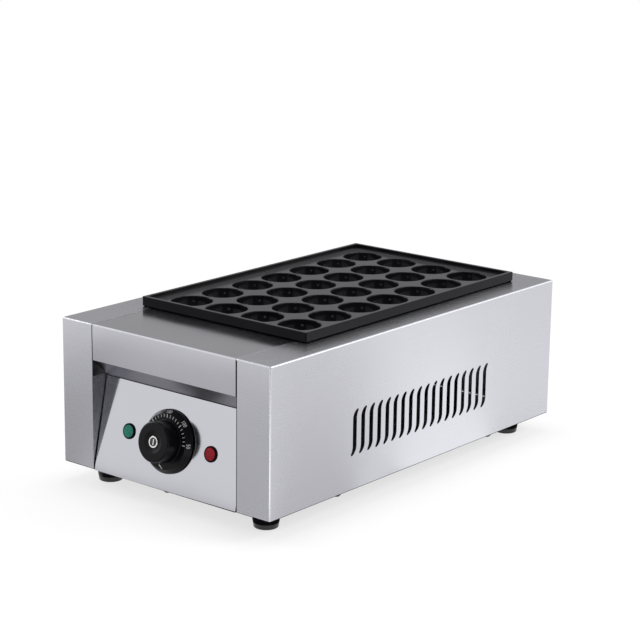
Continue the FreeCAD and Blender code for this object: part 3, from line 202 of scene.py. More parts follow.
class Group(Nodes):
    """A geometry node group under construction, with named inputs."""

    def __init__(self, name: str) -> None:
        """Start a group that takes and gives a geometry.

        Args:
            name: The group's name.
        """
        super().__init__(bpy.data.node_groups.new(name, "GeometryNodeTree"))
        for way in ("INPUT", "OUTPUT"):
            self.tree.interface.new_socket("Geometry", in_out=way, socket_type="NodeSocketGeometry")
        self.entry = self.add("NodeGroupInput")
        self.settings: dict[str, object] = {}

    def setting(self, name: str, kind: str, given: object) -> Socket:
        """Add a named input with the value that its modifier gets.

        Args:
            name: The input's name.
            kind: The last part of the socket's type, such as Float.
            given: The value.

        Returns:
            The socket inside the group.
        """
        item = self.tree.interface.new_socket(name, in_out="INPUT", socket_type="NodeSocket" + kind)
        self.settings[item.identifier] = given
        return self.entry.outputs[name]

    def copies(self, points: object, source: Socket, **inputs: object) -> Socket:
        """Put a copy of an object on each point.

        Args:
            points: The points' geometry.
            source: The input that holds the object.
            **inputs: More inputs of the node that makes the copies.

        Returns:
            The copies' geometry.
        """
        shape = self.add("GeometryNodeObjectInfo", {"Object": source, "As Instance": True})
        given = {"Points": points, "Instance": shape.outputs["Geometry"], **inputs}
        return self.add("GeometryNodeInstanceOnPoints", given).outputs[0]

    def close(self, geometry: Socket, finish: Finish) -> None:
        """End the group: real meshes instead of instances, merged, with their material."""
        real = self.add("GeometryNodeRealizeInstances", {0: geometry}).outputs[0]
        merge = {"Geometry": real, "Distance": COPY_WELD}
        welded = self.add("GeometryNodeMergeByDistance", merge).outputs[0]
        paint = {"Geometry": welded, "Material": finish.material()}
        self.add("NodeGroupOutput", {0: self.add("GeometryNodeSetMaterial", paint).outputs[0]})

    def run(self, mesh: Mesh) -> Mesh:
        """Run the group on a mesh.

        Args:
            mesh: What the group takes in.

        Returns:
            The plain mesh that it gives.
        """
        def attach(holder: Thing) -> None:
            """Put the group on an object as a modifier and fill its inputs."""
            modifier = holder.modifiers.new(self.tree.name, "NODES")
            modifier.node_group = self.tree
            for identifier, given in self.settings.items():
                modifier[identifier] = given

        return evaluated(mesh, attach)


# ------------------------------------------------------------------ finishes


def shade(color: Color, factor: float) -> Color:
    """Return a colour made lighter or darker by a factor."""
    return tuple(min(1.0, part * factor) for part in color)


@dataclass(frozen=True)
class Finish:
    """A surface finish: its main colour and gloss, and a subclass's own pattern."""

    name: str
    color: Color
    roughness: float = 0.5

    def material(self) -> bpy.types.Material:
        """Return this finish's material, made on the first call.

        Returns:
            The material with its node tree.
        """
        known = bpy.data.materials.get(self.name)
        if known is not None:
            return known
        tree = Shading(self.name)
        self.dress(tree)
        tree.material.diffuse_color = (*self.color, 1.0)
        return tree.material

    def dress(self, tree: Shading) -> None:
        """Set the shader up; each kind of finish has its own way."""
        raise NotImplementedError


@dataclass(frozen=True)
class BrushedSheet(Finish):
    """Stainless sheet with fine brush lines, a slight wave and faint hazy patches."""

    grain: Grain = Grain.ALONG_X
    line: float = 0.35 * MM
    run: float = 60 * MM
    streak: float = 0.01
    brush: float = 0.0015 * MM
    band_run: float = 0.4
    band_line: float = 0.06
    haze_scale: float = 9.0
    wave: float = 0.25 * MM
    wave_scale: float = 13.0
    # painted shade: how far from other parts, and how much, the sheet's corners are painted darker
    shade_reach: float = 5 * MM
    corner_shade: float = 0.1
    level_from: float = 0.7

    def dress(self, tree: Shading) -> None:
        """Lay the lines along the sheet as it was before it was folded."""
        parts = tree.add("ShaderNodeSeparateXYZ", {0: tree.place}).outputs
        if self.grain is Grain.ALONG_X:
            along, across = parts[0], tree.math("ADD", parts[1], parts[2])
        else:
            level = tree.math("GREATER_THAN", tree.math("ABSOLUTE", tree.rise()), self.level_from)
            along = tree.math("ADD", parts[0], parts[1])
            across = tree.add("ShaderNodeMix", {0: level, 2: parts[2], 3: parts[0]}).outputs[0]
        flat = tree.add("ShaderNodeCombineXYZ", {0: along, 1: across}).outputs[0]
        lines = tree.stretched(flat, 1 / self.run, 1 / self.line, 3.0)
        bands = tree.stretched(flat, self.band_run / self.run, self.band_line / self.line, 2.0)
        haze = tree.noise(self.haze_scale, 3.0)
        # painted shade: ambient occlusion darkens the sheet's colour in corners and next to other parts
        shaded_corners = tree.span(tree.hollows(self.shade_reach), 0.8, 0, 0.15, 0.65)
        darkest, dark, light, lightest = (
            shade(self.color, 1 + step * self.streak) for step in (-2, -1, 1, 2))
        tone = tree.blend(tree.span(lines, 0, 1), dark, light)
        tone = tree.blend(tree.span(bands, 0, 0.5), tone, darkest)
        tone = tree.blend(tree.span(haze, 0, 0.35), tone, lightest)
        tone = tree.blend(shaded_corners, tone, shade(self.color, self.corner_shade))
        rough = tree.math("ADD", tree.span(lines, -self.streak, self.streak),
                          tree.span(haze, -0.02, 0.03))
        waved = tree.bump(tree.noise(self.wave_scale, 1.0), self.wave)
        tree.set(Base_Color=tone, Metallic=1.0, Roughness=tree.math("ADD", rough, self.roughness),
                 Normal=tree.bump(lines, self.brush, waved))


@dataclass(frozen=True)
class PlainMetal(Finish):
    """Plated, bare or heat-tinted metal: a soft cloud of a second tint and fine pits."""

    tint: Color = (0.5, 0.5, 0.5)
    cloud_scale: float = 60.0
    pit_scale: float = 3000.0
    pit: float = 0.01 * MM
    shade_reach: float = 3 * MM
    corner_shade: float = 0.1

    def dress(self, tree: Shading) -> None:
        """Cloud the tint, vary the gloss with it and paint shade into its hollows."""
        cloud = tree.noise(self.cloud_scale, 4.0)
        # painted shade: ambient occlusion darkens the tint in hollows, such as where a screw head meets its sheet
        shaded_corners = tree.span(tree.hollows(self.shade_reach), 0.9, 0, 0.3, 0.8)
        tone = tree.blend(tree.span(cloud, 0, 1), self.color, self.tint)
        tree.set(Base_Color=tree.blend(shaded_corners, tone, shade(self.tint, self.corner_shade)), Metallic=1.0,
                 Roughness=tree.span(cloud, self.roughness - 0.06, self.roughness + 0.08),
                 Normal=tree.bump(tree.noise(self.pit_scale), self.pit))


@dataclass(frozen=True)
class CastCoating(Finish):
    """Black non-stick coating on a casting: orange peel, pin specks and duller patches."""

    specular: float = 0.09
    level_sheen: Color = (0.06, 0.06, 0.066)
    peel_scale: float = 1100.0
    peel: float = 0.006 * MM
    patch_scale: float = 22.0
    speck_scale: float = 2400.0

    def dress(self, tree: Shading) -> None:
        """Strew fine specks over the coat, dull it in patches and paint a lighter sheen on its level faces."""
        patch = tree.noise(self.patch_scale, 4.0)
        speck = tree.span(tree.noise(self.speck_scale, 0.0), 0, 0.25, 0.68, 0.78)
        # painted sheen: faces that look straight up get a lighter colour that stands in for the reflection on them
        level = tree.span(tree.rise(), 0, 1, 0.93, 0.99)
        tone = tree.blend(tree.span(patch, 0, 1), shade(self.color, 0.8), shade(self.color, 1.25))
        tone = tree.blend(speck, tone, shade(self.color, 4.0))
        tree.set(Base_Color=tree.blend(level, tone, self.level_sheen), Specular_IOR_Level=self.specular,
                 Roughness=tree.span(patch, self.roughness - 0.03, self.roughness + 0.04),
                 Normal=tree.bump(tree.noise(self.peel_scale), self.peel))


@dataclass(frozen=True)
class Moulding(Finish):
    """Moulded plastic, rubber or ceramic: a fine spark-eroded or smooth skin with slight haze."""

    skin_scale: float = 1800.0
    depth: float = 0.01 * MM
    coat: float = 0.0
    coat_roughness: float = 0.18
    specular: float = 0.5
    haze_scale: float = 45.0
    hollow_reach: float = 3 * MM
    hollow_shade: float = 0.6

    def dress(self, tree: Shading) -> None:
        """Give the moulding its skin, and painted shade that darkens its corners."""
        haze = tree.noise(self.haze_scale, 3.0)
        # painted shade: ambient occlusion darkens the colour in corners near other parts
        corner = tree.span(tree.hollows(self.hollow_reach), 0.4, 0, 0.3, 0.9)
        tone = tree.blend(tree.span(haze, 0, 1), shade(self.color, 0.85), shade(self.color, 1.2))
        tree.set(Base_Color=tree.blend(corner, tone, shade(self.color, self.hollow_shade)),
                 Roughness=tree.span(haze, self.roughness - 0.04, self.roughness + 0.06),
                 Coat_Weight=self.coat, Coat_Roughness=self.coat_roughness,
                 Specular_IOR_Level=self.specular,
                 Normal=tree.bump(tree.noise(self.skin_scale), self.depth))


@dataclass(frozen=True)
class LampGlass(Finish):
    """Coloured lamp lens: clear skin over a ribbed, deeper-coloured inside."""

    deep: Color = (0.1, 0.1, 0.1)
    cell_scale: float = 420.0
    cell: float = 0.12 * MM
    rim_width: float = 0.35
    specular: float = 0.15
    coat: float = 0.06
    coat_roughness: float = 0.1
    glow: float = 0.25
    glow_reach: float = 2 * MM

    def dress(self, tree: Shading) -> None:
        """Mix the deep tint in by a fine cell pattern and where the lens turns away."""
        given = {"Vector": tree.place, "Scale": self.cell_scale}
        cells = tree.add("ShaderNodeTexVoronoi", given).outputs["Distance"]
        rim = tree.add("ShaderNodeLayerWeight", {"Blend": self.rim_width}).outputs["Facing"]
        share = tree.math("MAXIMUM", tree.span(cells, 0, 0.4, 0.2, 0.7),
                          tree.span(rim, 0, 0.9, 0.25, 0.95))
        tree.set(Base_Color=tree.blend(share, self.color, self.deep), Roughness=self.roughness,
                 Specular_IOR_Level=self.specular, Coat_Weight=self.coat,
                 Coat_Roughness=self.coat_roughness,
                 Subsurface_Weight=self.glow, Subsurface_Radius=(self.glow_reach,) * 3,
                 Normal=tree.bump(cells, self.cell))


@dataclass(frozen=True)
class PrintedInk(Finish):
    """White print on the dial, a little thin in places."""

    thin_scale: float = 2600.0
    depth: float = 0.004 * MM

    def dress(self, tree: Shading) -> None:
        """Thin the ink with fine noise."""
        thin = tree.noise(self.thin_scale, 3.0)
        tree.set(Base_Color=tree.blend(tree.span(thin, 0, 0.5), self.color, shade(self.color, 0.6)),
                 Roughness=self.roughness, Normal=tree.bump(thin, self.depth))


STEEL_ACROSS = BrushedSheet("steel_brushed_across", (0.6, 0.6, 0.645), 0.16)
STEEL_ALONG = BrushedSheet("steel_brushed_along", (0.6, 0.6, 0.645), 0.27, grain=Grain.ALONG_Y)
# painted shade: a darker copy of the outer steel for the front cover's faces that look down
SHADED_UNDERSIDE_STEEL = BrushedSheet("steel_underside_painted_shade", (0.36, 0.355, 0.385), 0.3)
PANEL_STEEL = BrushedSheet("control_panel_steel", (0.57, 0.57, 0.615), 0.11, wave=0.12 * MM)
# painted shade: the inner sheets get a dark steel so that the inside looks dark through the vents
SHADED_INNER_STEEL = BrushedSheet("inner_steel_painted_shade", (0.26, 0.26, 0.27), 0.5, run=30 * MM, streak=0.05)
# painted shade: a dark, unreflecting finish for bottom bends, the seam beside the control panel and the panel's
# lower edge
BEND_SHADE = Moulding("bend_painted_shade", (0.035, 0.035, 0.038), 0.8, specular=0.0)
COATING = CastCoating("nonstick_coating", (0.0075, 0.0075, 0.009), 0.13)
KNOB_PLASTIC = Moulding("knob_plastic", (0.004, 0.004, 0.006), 0.32, skin_scale=2600.0,
                        depth=0.004 * MM, specular=0.15)
BLACK_PLASTIC = Moulding("black_plastic", (0.006, 0.006, 0.008), 0.38, specular=0.15)
LAMP_RIM = Moulding("lamp_rim_plastic", (0.003, 0.003, 0.004), 0.5, specular=0.05)
GLAND_PLASTIC = Moulding("gland_plastic", (0.02, 0.02, 0.022), 0.5, skin_scale=1500.0)
RUBBER = Moulding("foot_rubber", (0.008, 0.008, 0.009), 0.16, skin_scale=1300.0, depth=0.003 * MM,
                  specular=0.6)
CERAMIC = Moulding("glazed_ceramic", (0.86, 0.84, 0.78), 0.25, skin_scale=400.0, coat=0.6)
BRIGHT_RING = PlainMetal("bright_ring", (0.86, 0.86, 0.87), 0.16, tint=(0.74, 0.74, 0.75))
PLATED = PlainMetal("plated_steel", (0.68, 0.68, 0.7), 0.28, tint=(0.55, 0.55, 0.57),
                    cloud_scale=200.0)
# painted shade: a darker copy of the plated steel for the screws under the base
SHADED_PLATED = PlainMetal("plated_steel_painted_shade", (0.2, 0.2, 0.21), 0.3, tint=(0.12, 0.12, 0.13),
                         cloud_scale=200.0)
SHEATH = PlainMetal("heater_sheath", (0.26, 0.25, 0.25), 0.42, tint=(0.3, 0.22, 0.17))
COPPER = PlainMetal("bare_copper", (0.8, 0.42, 0.26), 0.3, tint=(0.5, 0.26, 0.17))
GREEN_LENS = LampGlass("green_lamp_lens", (0.045, 0.42, 0.3), 0.25, deep=(0.004, 0.09, 0.06))
RED_LENS = LampGlass("red_lamp_lens", (0.62, 0.012, 0.035), 0.25, deep=(0.12, 0.003, 0.008))
DIAL_INK = PrintedInk("dial_ink", (0.9, 0.9, 0.9), 0.5)


# ------------------------------------------------------------------ mesh work


def evaluated(mesh: Mesh, adjust: Callable[[Thing], None]) -> Mesh:
    """Return a mesh after the modifiers that a function puts on an object of it.

    Args:
        mesh: The mesh to start from.
        adjust: Adds the modifiers to the object that it is given.

    Returns:
        A plain mesh.
    """
    holder = bpy.data.objects.new("holder", mesh)
    bpy.context.scene.collection.objects.link(holder)
    adjust(holder)
    made = plain_mesh(holder)
    bpy.data.objects.remove(holder)
    return made


def plain_mesh(holder: Thing) -> Mesh:
    """Return a new mesh of what a linked object shows."""
    bpy.context.view_layer.update()
    return bpy.data.meshes.new_from_object(holder.evaluated_get(bpy.context.evaluated_depsgraph_get()))


def smooth(mesh: Mesh, angle: float) -> Mesh:
    """Shade a mesh smooth up to an angle between faces, with its large faces kept flat.

    Args:
        mesh: The mesh to shade.
        angle: Edges that turn by more than this many degrees stay sharp.

    Returns:
        The mesh with normals that lean to the larger faces.
    """
    def lean(holder: Thing) -> None:
        """Weigh the normals by the faces' areas with a modifier."""
        weigh = holder.modifiers.new("lean", "WEIGHTED_NORMAL")
        weigh.mode, weigh.keep_sharp = "FACE_AREA_WITH_ANGLE", True

    mesh.polygons.foreach_set("use_smooth", [True] * len(mesh.polygons))
    mesh.set_sharp_from_angle(angle=math.radians(angle))
    return evaluated(mesh, lean)


def finish_piece(name: str, mesh: Mesh, body: Body, finish: Finish,
                 stands_for: Sequence[str] = (), angle: float = 32.0) -> Thing:
    """Put a mesh in the scene as a finished piece that rides on a body.

    Args:
        name: The piece's name.
        mesh: Its mesh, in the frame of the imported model.
        body: The body that it rides on.
        finish: The surface finish.
        stands_for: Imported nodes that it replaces.
        angle: Edges that turn by more than this many degrees stay sharp.

    Returns:
        The piece.
    """
    mesh = smooth(mesh, angle)
    mesh.name = name
    mesh.materials.clear()
    mesh.materials.append(finish.material())
    piece = bpy.data.objects.new(name, mesh)
    bpy.context.scene.collection.objects.link(piece)
    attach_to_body(piece, body.value)
    if stands_for:
        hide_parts(*stands_for)
    log.info("%s: %d faces, rides on %s", name, len(mesh.polygons), body.value)
    return piece


def opened(*meshes: Mesh) -> Work:
    """Return mesh work that starts with copies of meshes."""
    work = bmesh.new()
    for mesh in meshes:
        work.from_mesh(mesh)
    return work


def closed(work: Work, mesh: Mesh | str) -> Mesh:
    """End mesh work in a mesh, which is a new one where a name is given."""
    made = bpy.data.meshes.new(mesh) if isinstance(mesh, str) else mesh
    work.to_mesh(made)
    work.free()
    return made


def from_work(work: Work, name: str, weld: float = 0.001 * MM) -> Mesh:
    """Turn mesh work into a mesh with its doubles merged and its faces outwards."""
    bmesh.ops.remove_doubles(work, verts=work.verts, dist=weld)
    bmesh.ops.recalc_face_normals(work, faces=work.faces)
    return closed(work, name)


def add_block(work: Work, size: Sequence[float], place: Matrix | None = None) -> None:
    """Add a block to mesh work, about the origin unless a place is given."""
    shape = (place or Matrix.Identity(4)) @ Matrix.Diagonal((*size, 1.0))
    bmesh.ops.create_cube(work, size=1.0, matrix=shape)


def soft_block(name: str, size: Sequence[float], edge: float, segments: int) -> Mesh:
    """Make a block about the origin with rounded edges."""
    work = bmesh.new()
    add_block(work, size)
    bmesh.ops.bevel(work, geom=work.edges[:], offset=edge, segments=segments, affect="EDGES")
    return from_work(work, name)


def skin(node: str, body: Body, finish: Finish,
         split: tuple[Vector, Vector] | None = None) -> Thing:
    """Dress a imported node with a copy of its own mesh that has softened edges.

    Args:
        node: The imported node.
        body: The body that it rides on.
        finish: The surface finish.
        split: A point and a normal of the plane along which its faces are parted for a second finish.

    Returns:
        The piece that stands for the node.
    """
    def soften(holder: Thing) -> None:
        """Round the sharp edges a little with a modifier."""
        bevel = holder.modifiers.new("edges", "BEVEL")
        bevel.width, bevel.segments = SOFT_EDGE, 2
        bevel.limit_method, bevel.angle_limit = "ANGLE", SHARP_FROM

    work = opened(frame["nodes"][node].data)
    bmesh.ops.remove_doubles(work, verts=work.verts, dist=PACKED_WELD)
    bmesh.ops.dissolve_limit(work, angle_limit=FLAT_WITHIN, verts=work.verts, edges=work.edges)
    mesh = evaluated(closed(work, node + "_skin"), soften)
    if split is not None:
        work = opened(mesh)
        parts = [*work.verts, *work.edges, *work.faces]
        bmesh.ops.bisect_plane(work, geom=parts, plane_co=split[0], plane_no=split[1])
        closed(work, mesh)
    return finish_piece(node + "_skin", mesh, body, finish, [node])


def rounded(corners: Sequence[Sequence[float]], steps: int = 5) -> list[tuple[float, float]]:
    """Round the corners of a flat open outline.

    Args:
        corners: Each corner's two places and, as a third number, its radius if it has one.
        steps: Straight pieces in each round.

    Returns:
        The outline's points.
    """
    points: list[tuple[float, float]] = []
    for number, corner in enumerate(corners):
        here = Vector(corner[:2])
        radius = corner[2] if len(corner) > 2 else 0.0
        if not radius or number in (0, len(corners) - 1):
            points.append(tuple(here))
            continue
        back = (Vector(corners[number - 1][:2]) - here).normalized()
        on = (Vector(corners[number + 1][:2]) - here).normalized()
        half = back.angle(on) / 2
        reach = radius / math.tan(half)
        centre = here + (back + on).normalized() * (radius / math.sin(half))
        first, last = here + back * reach - centre, here + on * reach - centre
        turn = first.angle_signed(last)
        for step in range(steps + 1):
            points.append(tuple(centre + Matrix.Rotation(-turn * step / steps, 2) @ first))
    return points


def spoke(radius: float, turn: float, height: float = 0.0) -> Vector:
    """Return the point at a radius, an angle from X and a height."""
    return Vector((radius * math.cos(turn), radius * math.sin(turn), height))


def turned(name: str, profile: Sequence[tuple[float, float]], place: Matrix,
           segments: int = 64) -> Mesh:
    """Turn a closed profile about an axis.

    Args:
        name: The mesh's name.
        profile: Radius and height of each point; the first and last may lie on the axis.
        place: Puts the axis, which is local Z, where it belongs.
        segments: Faces around the axis.

    Returns:
        The turned mesh.
    """
    work = bmesh.new()
    rings = []
    for radius, height in profile:
        turns = [math.tau * number / segments for number in range(1 if radius < ON_AXIS else segments)]
        rings.append([work.verts.new(spoke(radius, turn, height)) for turn in turns])
    whole = len(rings[0]) > 1 and len(rings[-1]) > 1
    for lower, upper in zip(rings, rings[1:] + (rings[:1] if whole else [])):
        for number in range(segments):
            following = (number + 1) % segments
            corners = [lower[number % len(lower)], lower[following % len(lower)],
                       upper[following % len(upper)], upper[number % len(upper)]]
            distinct = list(dict.fromkeys(corners))
            if len(distinct) > 2:
                work.faces.new(distinct)
    mesh = from_work(work, name)
    mesh.transform(place)
    return mesh


def copies_at(name: str, piece: Mesh, places: Sequence[Matrix], finish: Finish) -> Mesh:
    """Repeat a small mesh at many places with geometry nodes.

    Args:
        name: The node group's name.
        piece: The mesh to repeat, about its own origin.
        places: Where each copy goes and how it is turned.
        finish: The surface finish.

    Returns:
        One mesh with every copy.
    """
    source = bpy.data.objects.new(name + "_one", piece)
    spots = bpy.data.meshes.new(name + "_spots")
    spots.from_pydata([place.translation for place in places], [], [])
    turns = spots.attributes.new("turn", "QUATERNION", "POINT")
    for number, place in enumerate(places):
        turns.data[number].value = place.to_quaternion()
    tree = Group(name)
    chosen = tree.setting("Piece", "Object", source)
    turn = tree.add("GeometryNodeInputNamedAttribute", {"Name": "turn"}, data_type="QUATERNION")
    tree.close(tree.copies(tree.entry.outputs["Geometry"], chosen, Rotation=turn.outputs[0]), finish)
    mesh = tree.run(spots)
    bpy.data.objects.remove(source)
    return mesh


def solid_boxes(node: str) -> list[tuple[Vector, Vector]]:
    """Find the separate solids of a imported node.

    Args:
        node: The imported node.

    Returns:
        The lowest and highest corner of each solid, in order of their places.
    """
    work = opened(frame["nodes"][node].data)
    bmesh.ops.remove_doubles(work, verts=work.verts, dist=PACKED_WELD)
    left = set(work.verts)
    boxes = []
    while left:
        waiting = [left.pop()]
        found = []
        while waiting:
            vert = waiting.pop()
            found.append(vert.co.copy())
            near = {edge.other_vert(vert) for edge in vert.link_edges} & left
            left -= near
            waiting += near
        boxes.append((Vector(map(min, zip(*found))), Vector(map(max, zip(*found)))))
    work.free()
    return sorted(boxes, key=lambda box: tuple(box[0]))


# ------------------------------------------------------------------ baking plate


@dataclass
class BakingPlate:
    """One casting: a raised rim, a flat web and a grid of round cups, with four pegs under it."""

    rim_wall: float = 4 * MM
    tray_depth: float = 4.6 * MM
    web: float = 4 * MM
    cup_radius: float = 20 * MM
    cup_wall: float = 2 * MM
    lip_round: float = 1.0 * MM
    lip_land: float = 0.2 * MM
    foot_round: float = 1.4 * MM
    foot_land: float = 0.3 * MM
    edge_round: float = 0.8 * MM
    corner_round: float = 1.3 * MM
    least_outside: float = 0.3 * MM
    least_inside: float = 0.2 * MM
    undercut: float = 1.4 * MM
    peg_radius: float = 3 * MM
    peg_length: float = 7 * MM
    peg_chamfer: float = 0.5 * MM
    peg_inset: float = 3.8 * MM
    opening_clearance: float = 3 * MM
    side_steps: int = 16
    corner_steps: int = 4
    lip_steps: int = 5
    bowl_steps: int = 12
    under_steps: int = 7

    def __post_init__(self) -> None:
        """Read the casting's outside and the cups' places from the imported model."""
        self.low, self.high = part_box("baking_plate")
        openings = frame["record"]["physics"]["openings"]
        boxes = [opening["box_m"] for opening in openings if opening["name"].startswith("cup_")]
        spots = sorted({tuple(round((one + two) / 2, 5) for one, two in zip(*box)) for box in boxes})
        self.columns = sorted({spot[0] for spot in spots})
        self.rows = sorted({spot[1] for spot in spots})
        self.pitch_x = self.columns[1] - self.columns[0]
        self.pitch_y = self.rows[1] - self.rows[0]
        self.middle_y = (self.rows[0] + self.rows[-1]) / 2
        self.web_top = self.high.z - self.tray_depth
        self.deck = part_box("front_cover")[1].z

    def ring(self, radius: float, height: float) -> list[Vector]:
        """Return a circle of points that match the border's, about the cup's mouth."""
        count = 4 * self.side_steps
        return [spoke(radius, math.tau * number / count, height) for number in range(count)]

    def border(self, height: float) -> list[Vector]:
        """Return the edge of a cup's share of the web, with evenly spaced points on each side."""
        half_x, half_y, steps = self.pitch_x / 2, self.pitch_y / 2, self.side_steps
        points = []
        for number in range(4 * steps):
            side, step = divmod(number + steps // 2, steps)
            slide = 2 * step / steps - 1
            across, along = ((1, slide), (-slide, 1), (-1, -slide), (slide, -1))[side % 4]
            points.append(Vector((across * half_x, along * half_y, height)))
        return points

    def upper_profile(self) -> list[tuple[float, float]]:
        """Return radius and height from the web over the rounded lip to the cup's bottom."""
        reach = self.cup_radius + self.lip_round
        centre = math.sqrt(reach * reach - self.lip_round ** 2)
        points = [(centre + self.lip_land, 0.0)]
        last = math.pi - math.atan(self.lip_round / centre)
        for step in range(self.lip_steps + 1):
            turn = math.pi / 2 + (last - math.pi / 2) * step / self.lip_steps
            points.append((centre + self.lip_round * math.cos(turn),
                           self.lip_round * (math.sin(turn) - 1)))
        start = math.asin(self.lip_round / reach)
        for step in range(1, self.bowl_steps):
            dip = start + (math.pi / 2 - start) * step / self.bowl_steps
            points.append((self.cup_radius * math.cos(dip), -self.cup_radius * math.sin(dip)))
        return points

    def lower_profile(self) -> list[tuple[float, float]]:
        """Return radius and height from the web's underside to the cup's lowest point outside."""
        outside, steps = self.cup_radius + self.cup_wall, self.under_steps
        start = math.asin(self.web / outside)
        dips = (start + (math.pi / 2 - start) * step / steps for step in range(steps))
        return [(outside * math.cos(dip), -outside * math.sin(dip)) for dip in dips]

    def cup(self) -> Mesh:
        """Make one cup with its share of the web, about the middle of its mouth."""
        work = bmesh.new()
        for profile, edge_height, bottom in (
                (self.upper_profile(), 0.0, -self.cup_radius),
                (self.lower_profile(), -self.web, -self.cup_radius - self.cup_wall)):
            under = edge_height < 0
            loops = [self.border(edge_height)] + [self.ring(*point) for point in profile]
            rim = self.skin_loops(work, loops, flip=under)
            last = work.verts.new((0, 0, bottom))
            for one, following in zip(rim, rim[1:] + rim[:1]):
                work.faces.new((last, following, one) if under else (one, following, last))
        return closed(work, "cup")

    @staticmethod
    def skin_loops(work: Work, loops: Sequence[Sequence[Vector]],
                   flip: bool) -> list[bmesh.types.BMVert]:
        """Join closed loops of as many points each with faces.

        Args:
            work: The mesh work to add to.
            loops: The loops, each with its points in the same order.
            flip: Whether the faces turn the other way.

        Returns:
            The last loop's corners.
        """
        rows = [[work.verts.new(point) for point in loop] for loop in loops]
        for one, other in zip(rows, rows[1:]):
            for number in range(len(one)):
                following = (number + 1) % len(one)
                corners = [one[number], one[following], other[following], other[number]]
                work.faces.new(corners[::-1] if flip else corners)
        return rows[-1]

    def rectangle(self, half_x: float, half_y: float, radius: float, height: float) -> list[Vector]:
        """Return a loop round the plate whose points match the outermost cups' borders.

        Args:
            half_x: Half its width.
            half_y: Half its length.
            radius: The round at its corners.
            height: Its level.

        Returns:
            Its points, counterclockwise from the front right corner.
        """
        sides = ((1, -1, (0, 1, 0)), (1, 1, (-1, 0, 0)), (-1, 1, (0, -1, 0)), (-1, -1, (1, 0, 0)))
        runs = ((half_y, len(self.rows)), (half_x, len(self.columns)))
        points = []
        for number, (across, along, way) in enumerate(sides):
            heart = Vector((across * (half_x - radius), along * (half_y - radius), height))
            heart.y += self.middle_y
            start = math.radians(90 * number - 90)
            for step in range(self.corner_steps + 1):
                turn = start + math.pi / 2 * step / self.corner_steps
                points.append(heart + spoke(radius, turn))
            half, cups = runs[number % 2]
            first, run, count = points[-1], 2 * (half - radius), cups * self.side_steps
            points += [first + Vector(way) * (run * step / count) for step in range(1, count)]
        return points

    def rim(self) -> Work:
        """Make the rim, the flat margin inside it and the same under the plate."""
        half_x, half_y = self.high.x, (self.high.y - self.low.y) / 2
        grid = (self.pitch_x * len(self.columns) / 2, self.pitch_y * len(self.rows) / 2)
        top, web_top, deck, web_foot = self.high.z, self.web_top, self.deck, self.web_top - self.web
        edge, foot, wall = self.edge_round, self.foot_round, self.rim_wall
        section = rounded([
            (wall + foot + self.foot_land, web_top), (wall, web_top, foot), (wall, top, edge * 0.75),
            (0, top, edge), (0, deck + self.undercut, 0.2 * MM), (self.undercut, deck, 0.1 * MM),
            (wall, deck, edge / 2), (wall, web_foot, edge / 2),
            (wall + foot + self.foot_land, web_foot),
        ], steps=4)
        loops = [self.rectangle(*grid, 0.0, web_top)]
        for inset, height in section:
            if inset < wall / 2:
                radius = max(self.corner_round - inset, self.least_outside)
            else:
                radius = max(self.corner_round - (inset - wall), self.least_inside)
            loops.append(self.rectangle(half_x - inset, half_y - inset, radius, height))
        loops.append(self.rectangle(*grid, 0.0, web_foot))
        work = bmesh.new()
        self.skin_loops(work, loops, flip=True)
        return work

    def add_pegs(self, work: Work) -> None:
        """Add the four locating pegs, with chamfered ends, to mesh work."""
        radius, chamfer, foot, head = (
            self.peg_radius, self.peg_chamfer, self.deck - self.peg_length, self.web_top - self.web / 2)
        reach = self.cup_radius + self.cup_wall + self.opening_clearance - self.peg_inset
        profile = [(0, foot), (radius - chamfer, foot), (radius, foot + chamfer),
                   (radius, head), (0, head)]
        for across in (self.columns[0] - reach, self.columns[-1] + reach):
            for along in (self.rows[0] - reach, self.rows[-1] + reach):
                work.from_mesh(turned("peg", profile, Matrix.Translation((across, along, 0)), 32))

    def grid_tree(self, cell: Thing) -> Group:
        """Build the tree that repeats a cup over the grid and joins the rim to it.

        Args:
            cell: The object with one cup's mesh.

        Returns:
            The tree, which takes in the rim.
        """
        tree = Group("cup_grid")
        one = tree.setting("Cup", "Object", cell)
        pitch = [tree.setting("Pitch across", "Float", self.pitch_x),
                 tree.setting("Pitch along", "Float", self.pitch_y)]
        count = [tree.setting("Cups across", "Int", len(self.columns)),
                 tree.setting("Cups along", "Int", len(self.rows))]
        middle = tree.setting("Middle", "Vector", (0.0, self.middle_y, self.web_top))
        spans = [tree.math("MULTIPLY", step, tree.math("SUBTRACT", cups, 1))
                 for step, cups in zip(pitch, count)]
        grid = tree.add("GeometryNodeMeshGrid", {
            "Size X": spans[0], "Size Y": spans[1], "Vertices X": count[0], "Vertices Y": count[1]})
        given = {"Geometry": grid.outputs[0], "Translation": middle}
        spots = tree.add("GeometryNodeTransform", given).outputs[0]
        join = tree.add("GeometryNodeJoinGeometry", {"Geometry": tree.copies(spots, one)})
        tree.feed(join.inputs[0], tree.entry.outputs["Geometry"])
        tree.close(join.outputs[0], COATING)
        return tree

    def build(self) -> None:
        """Make the whole casting as one piece."""
        work = self.rim()
        self.add_pegs(work)
        rim = from_work(work, "plate_rim")
        cell = bpy.data.objects.new("cup_cell", self.cup())
        casting = self.grid_tree(cell).run(rim)
        bpy.data.objects.remove(cell)
        finish_piece("cast_plate", casting, Body.PLATE, COATING, ["baking_plate"],
                     angle=40.0)


# ------------------------------------------------------------------ housing and inside


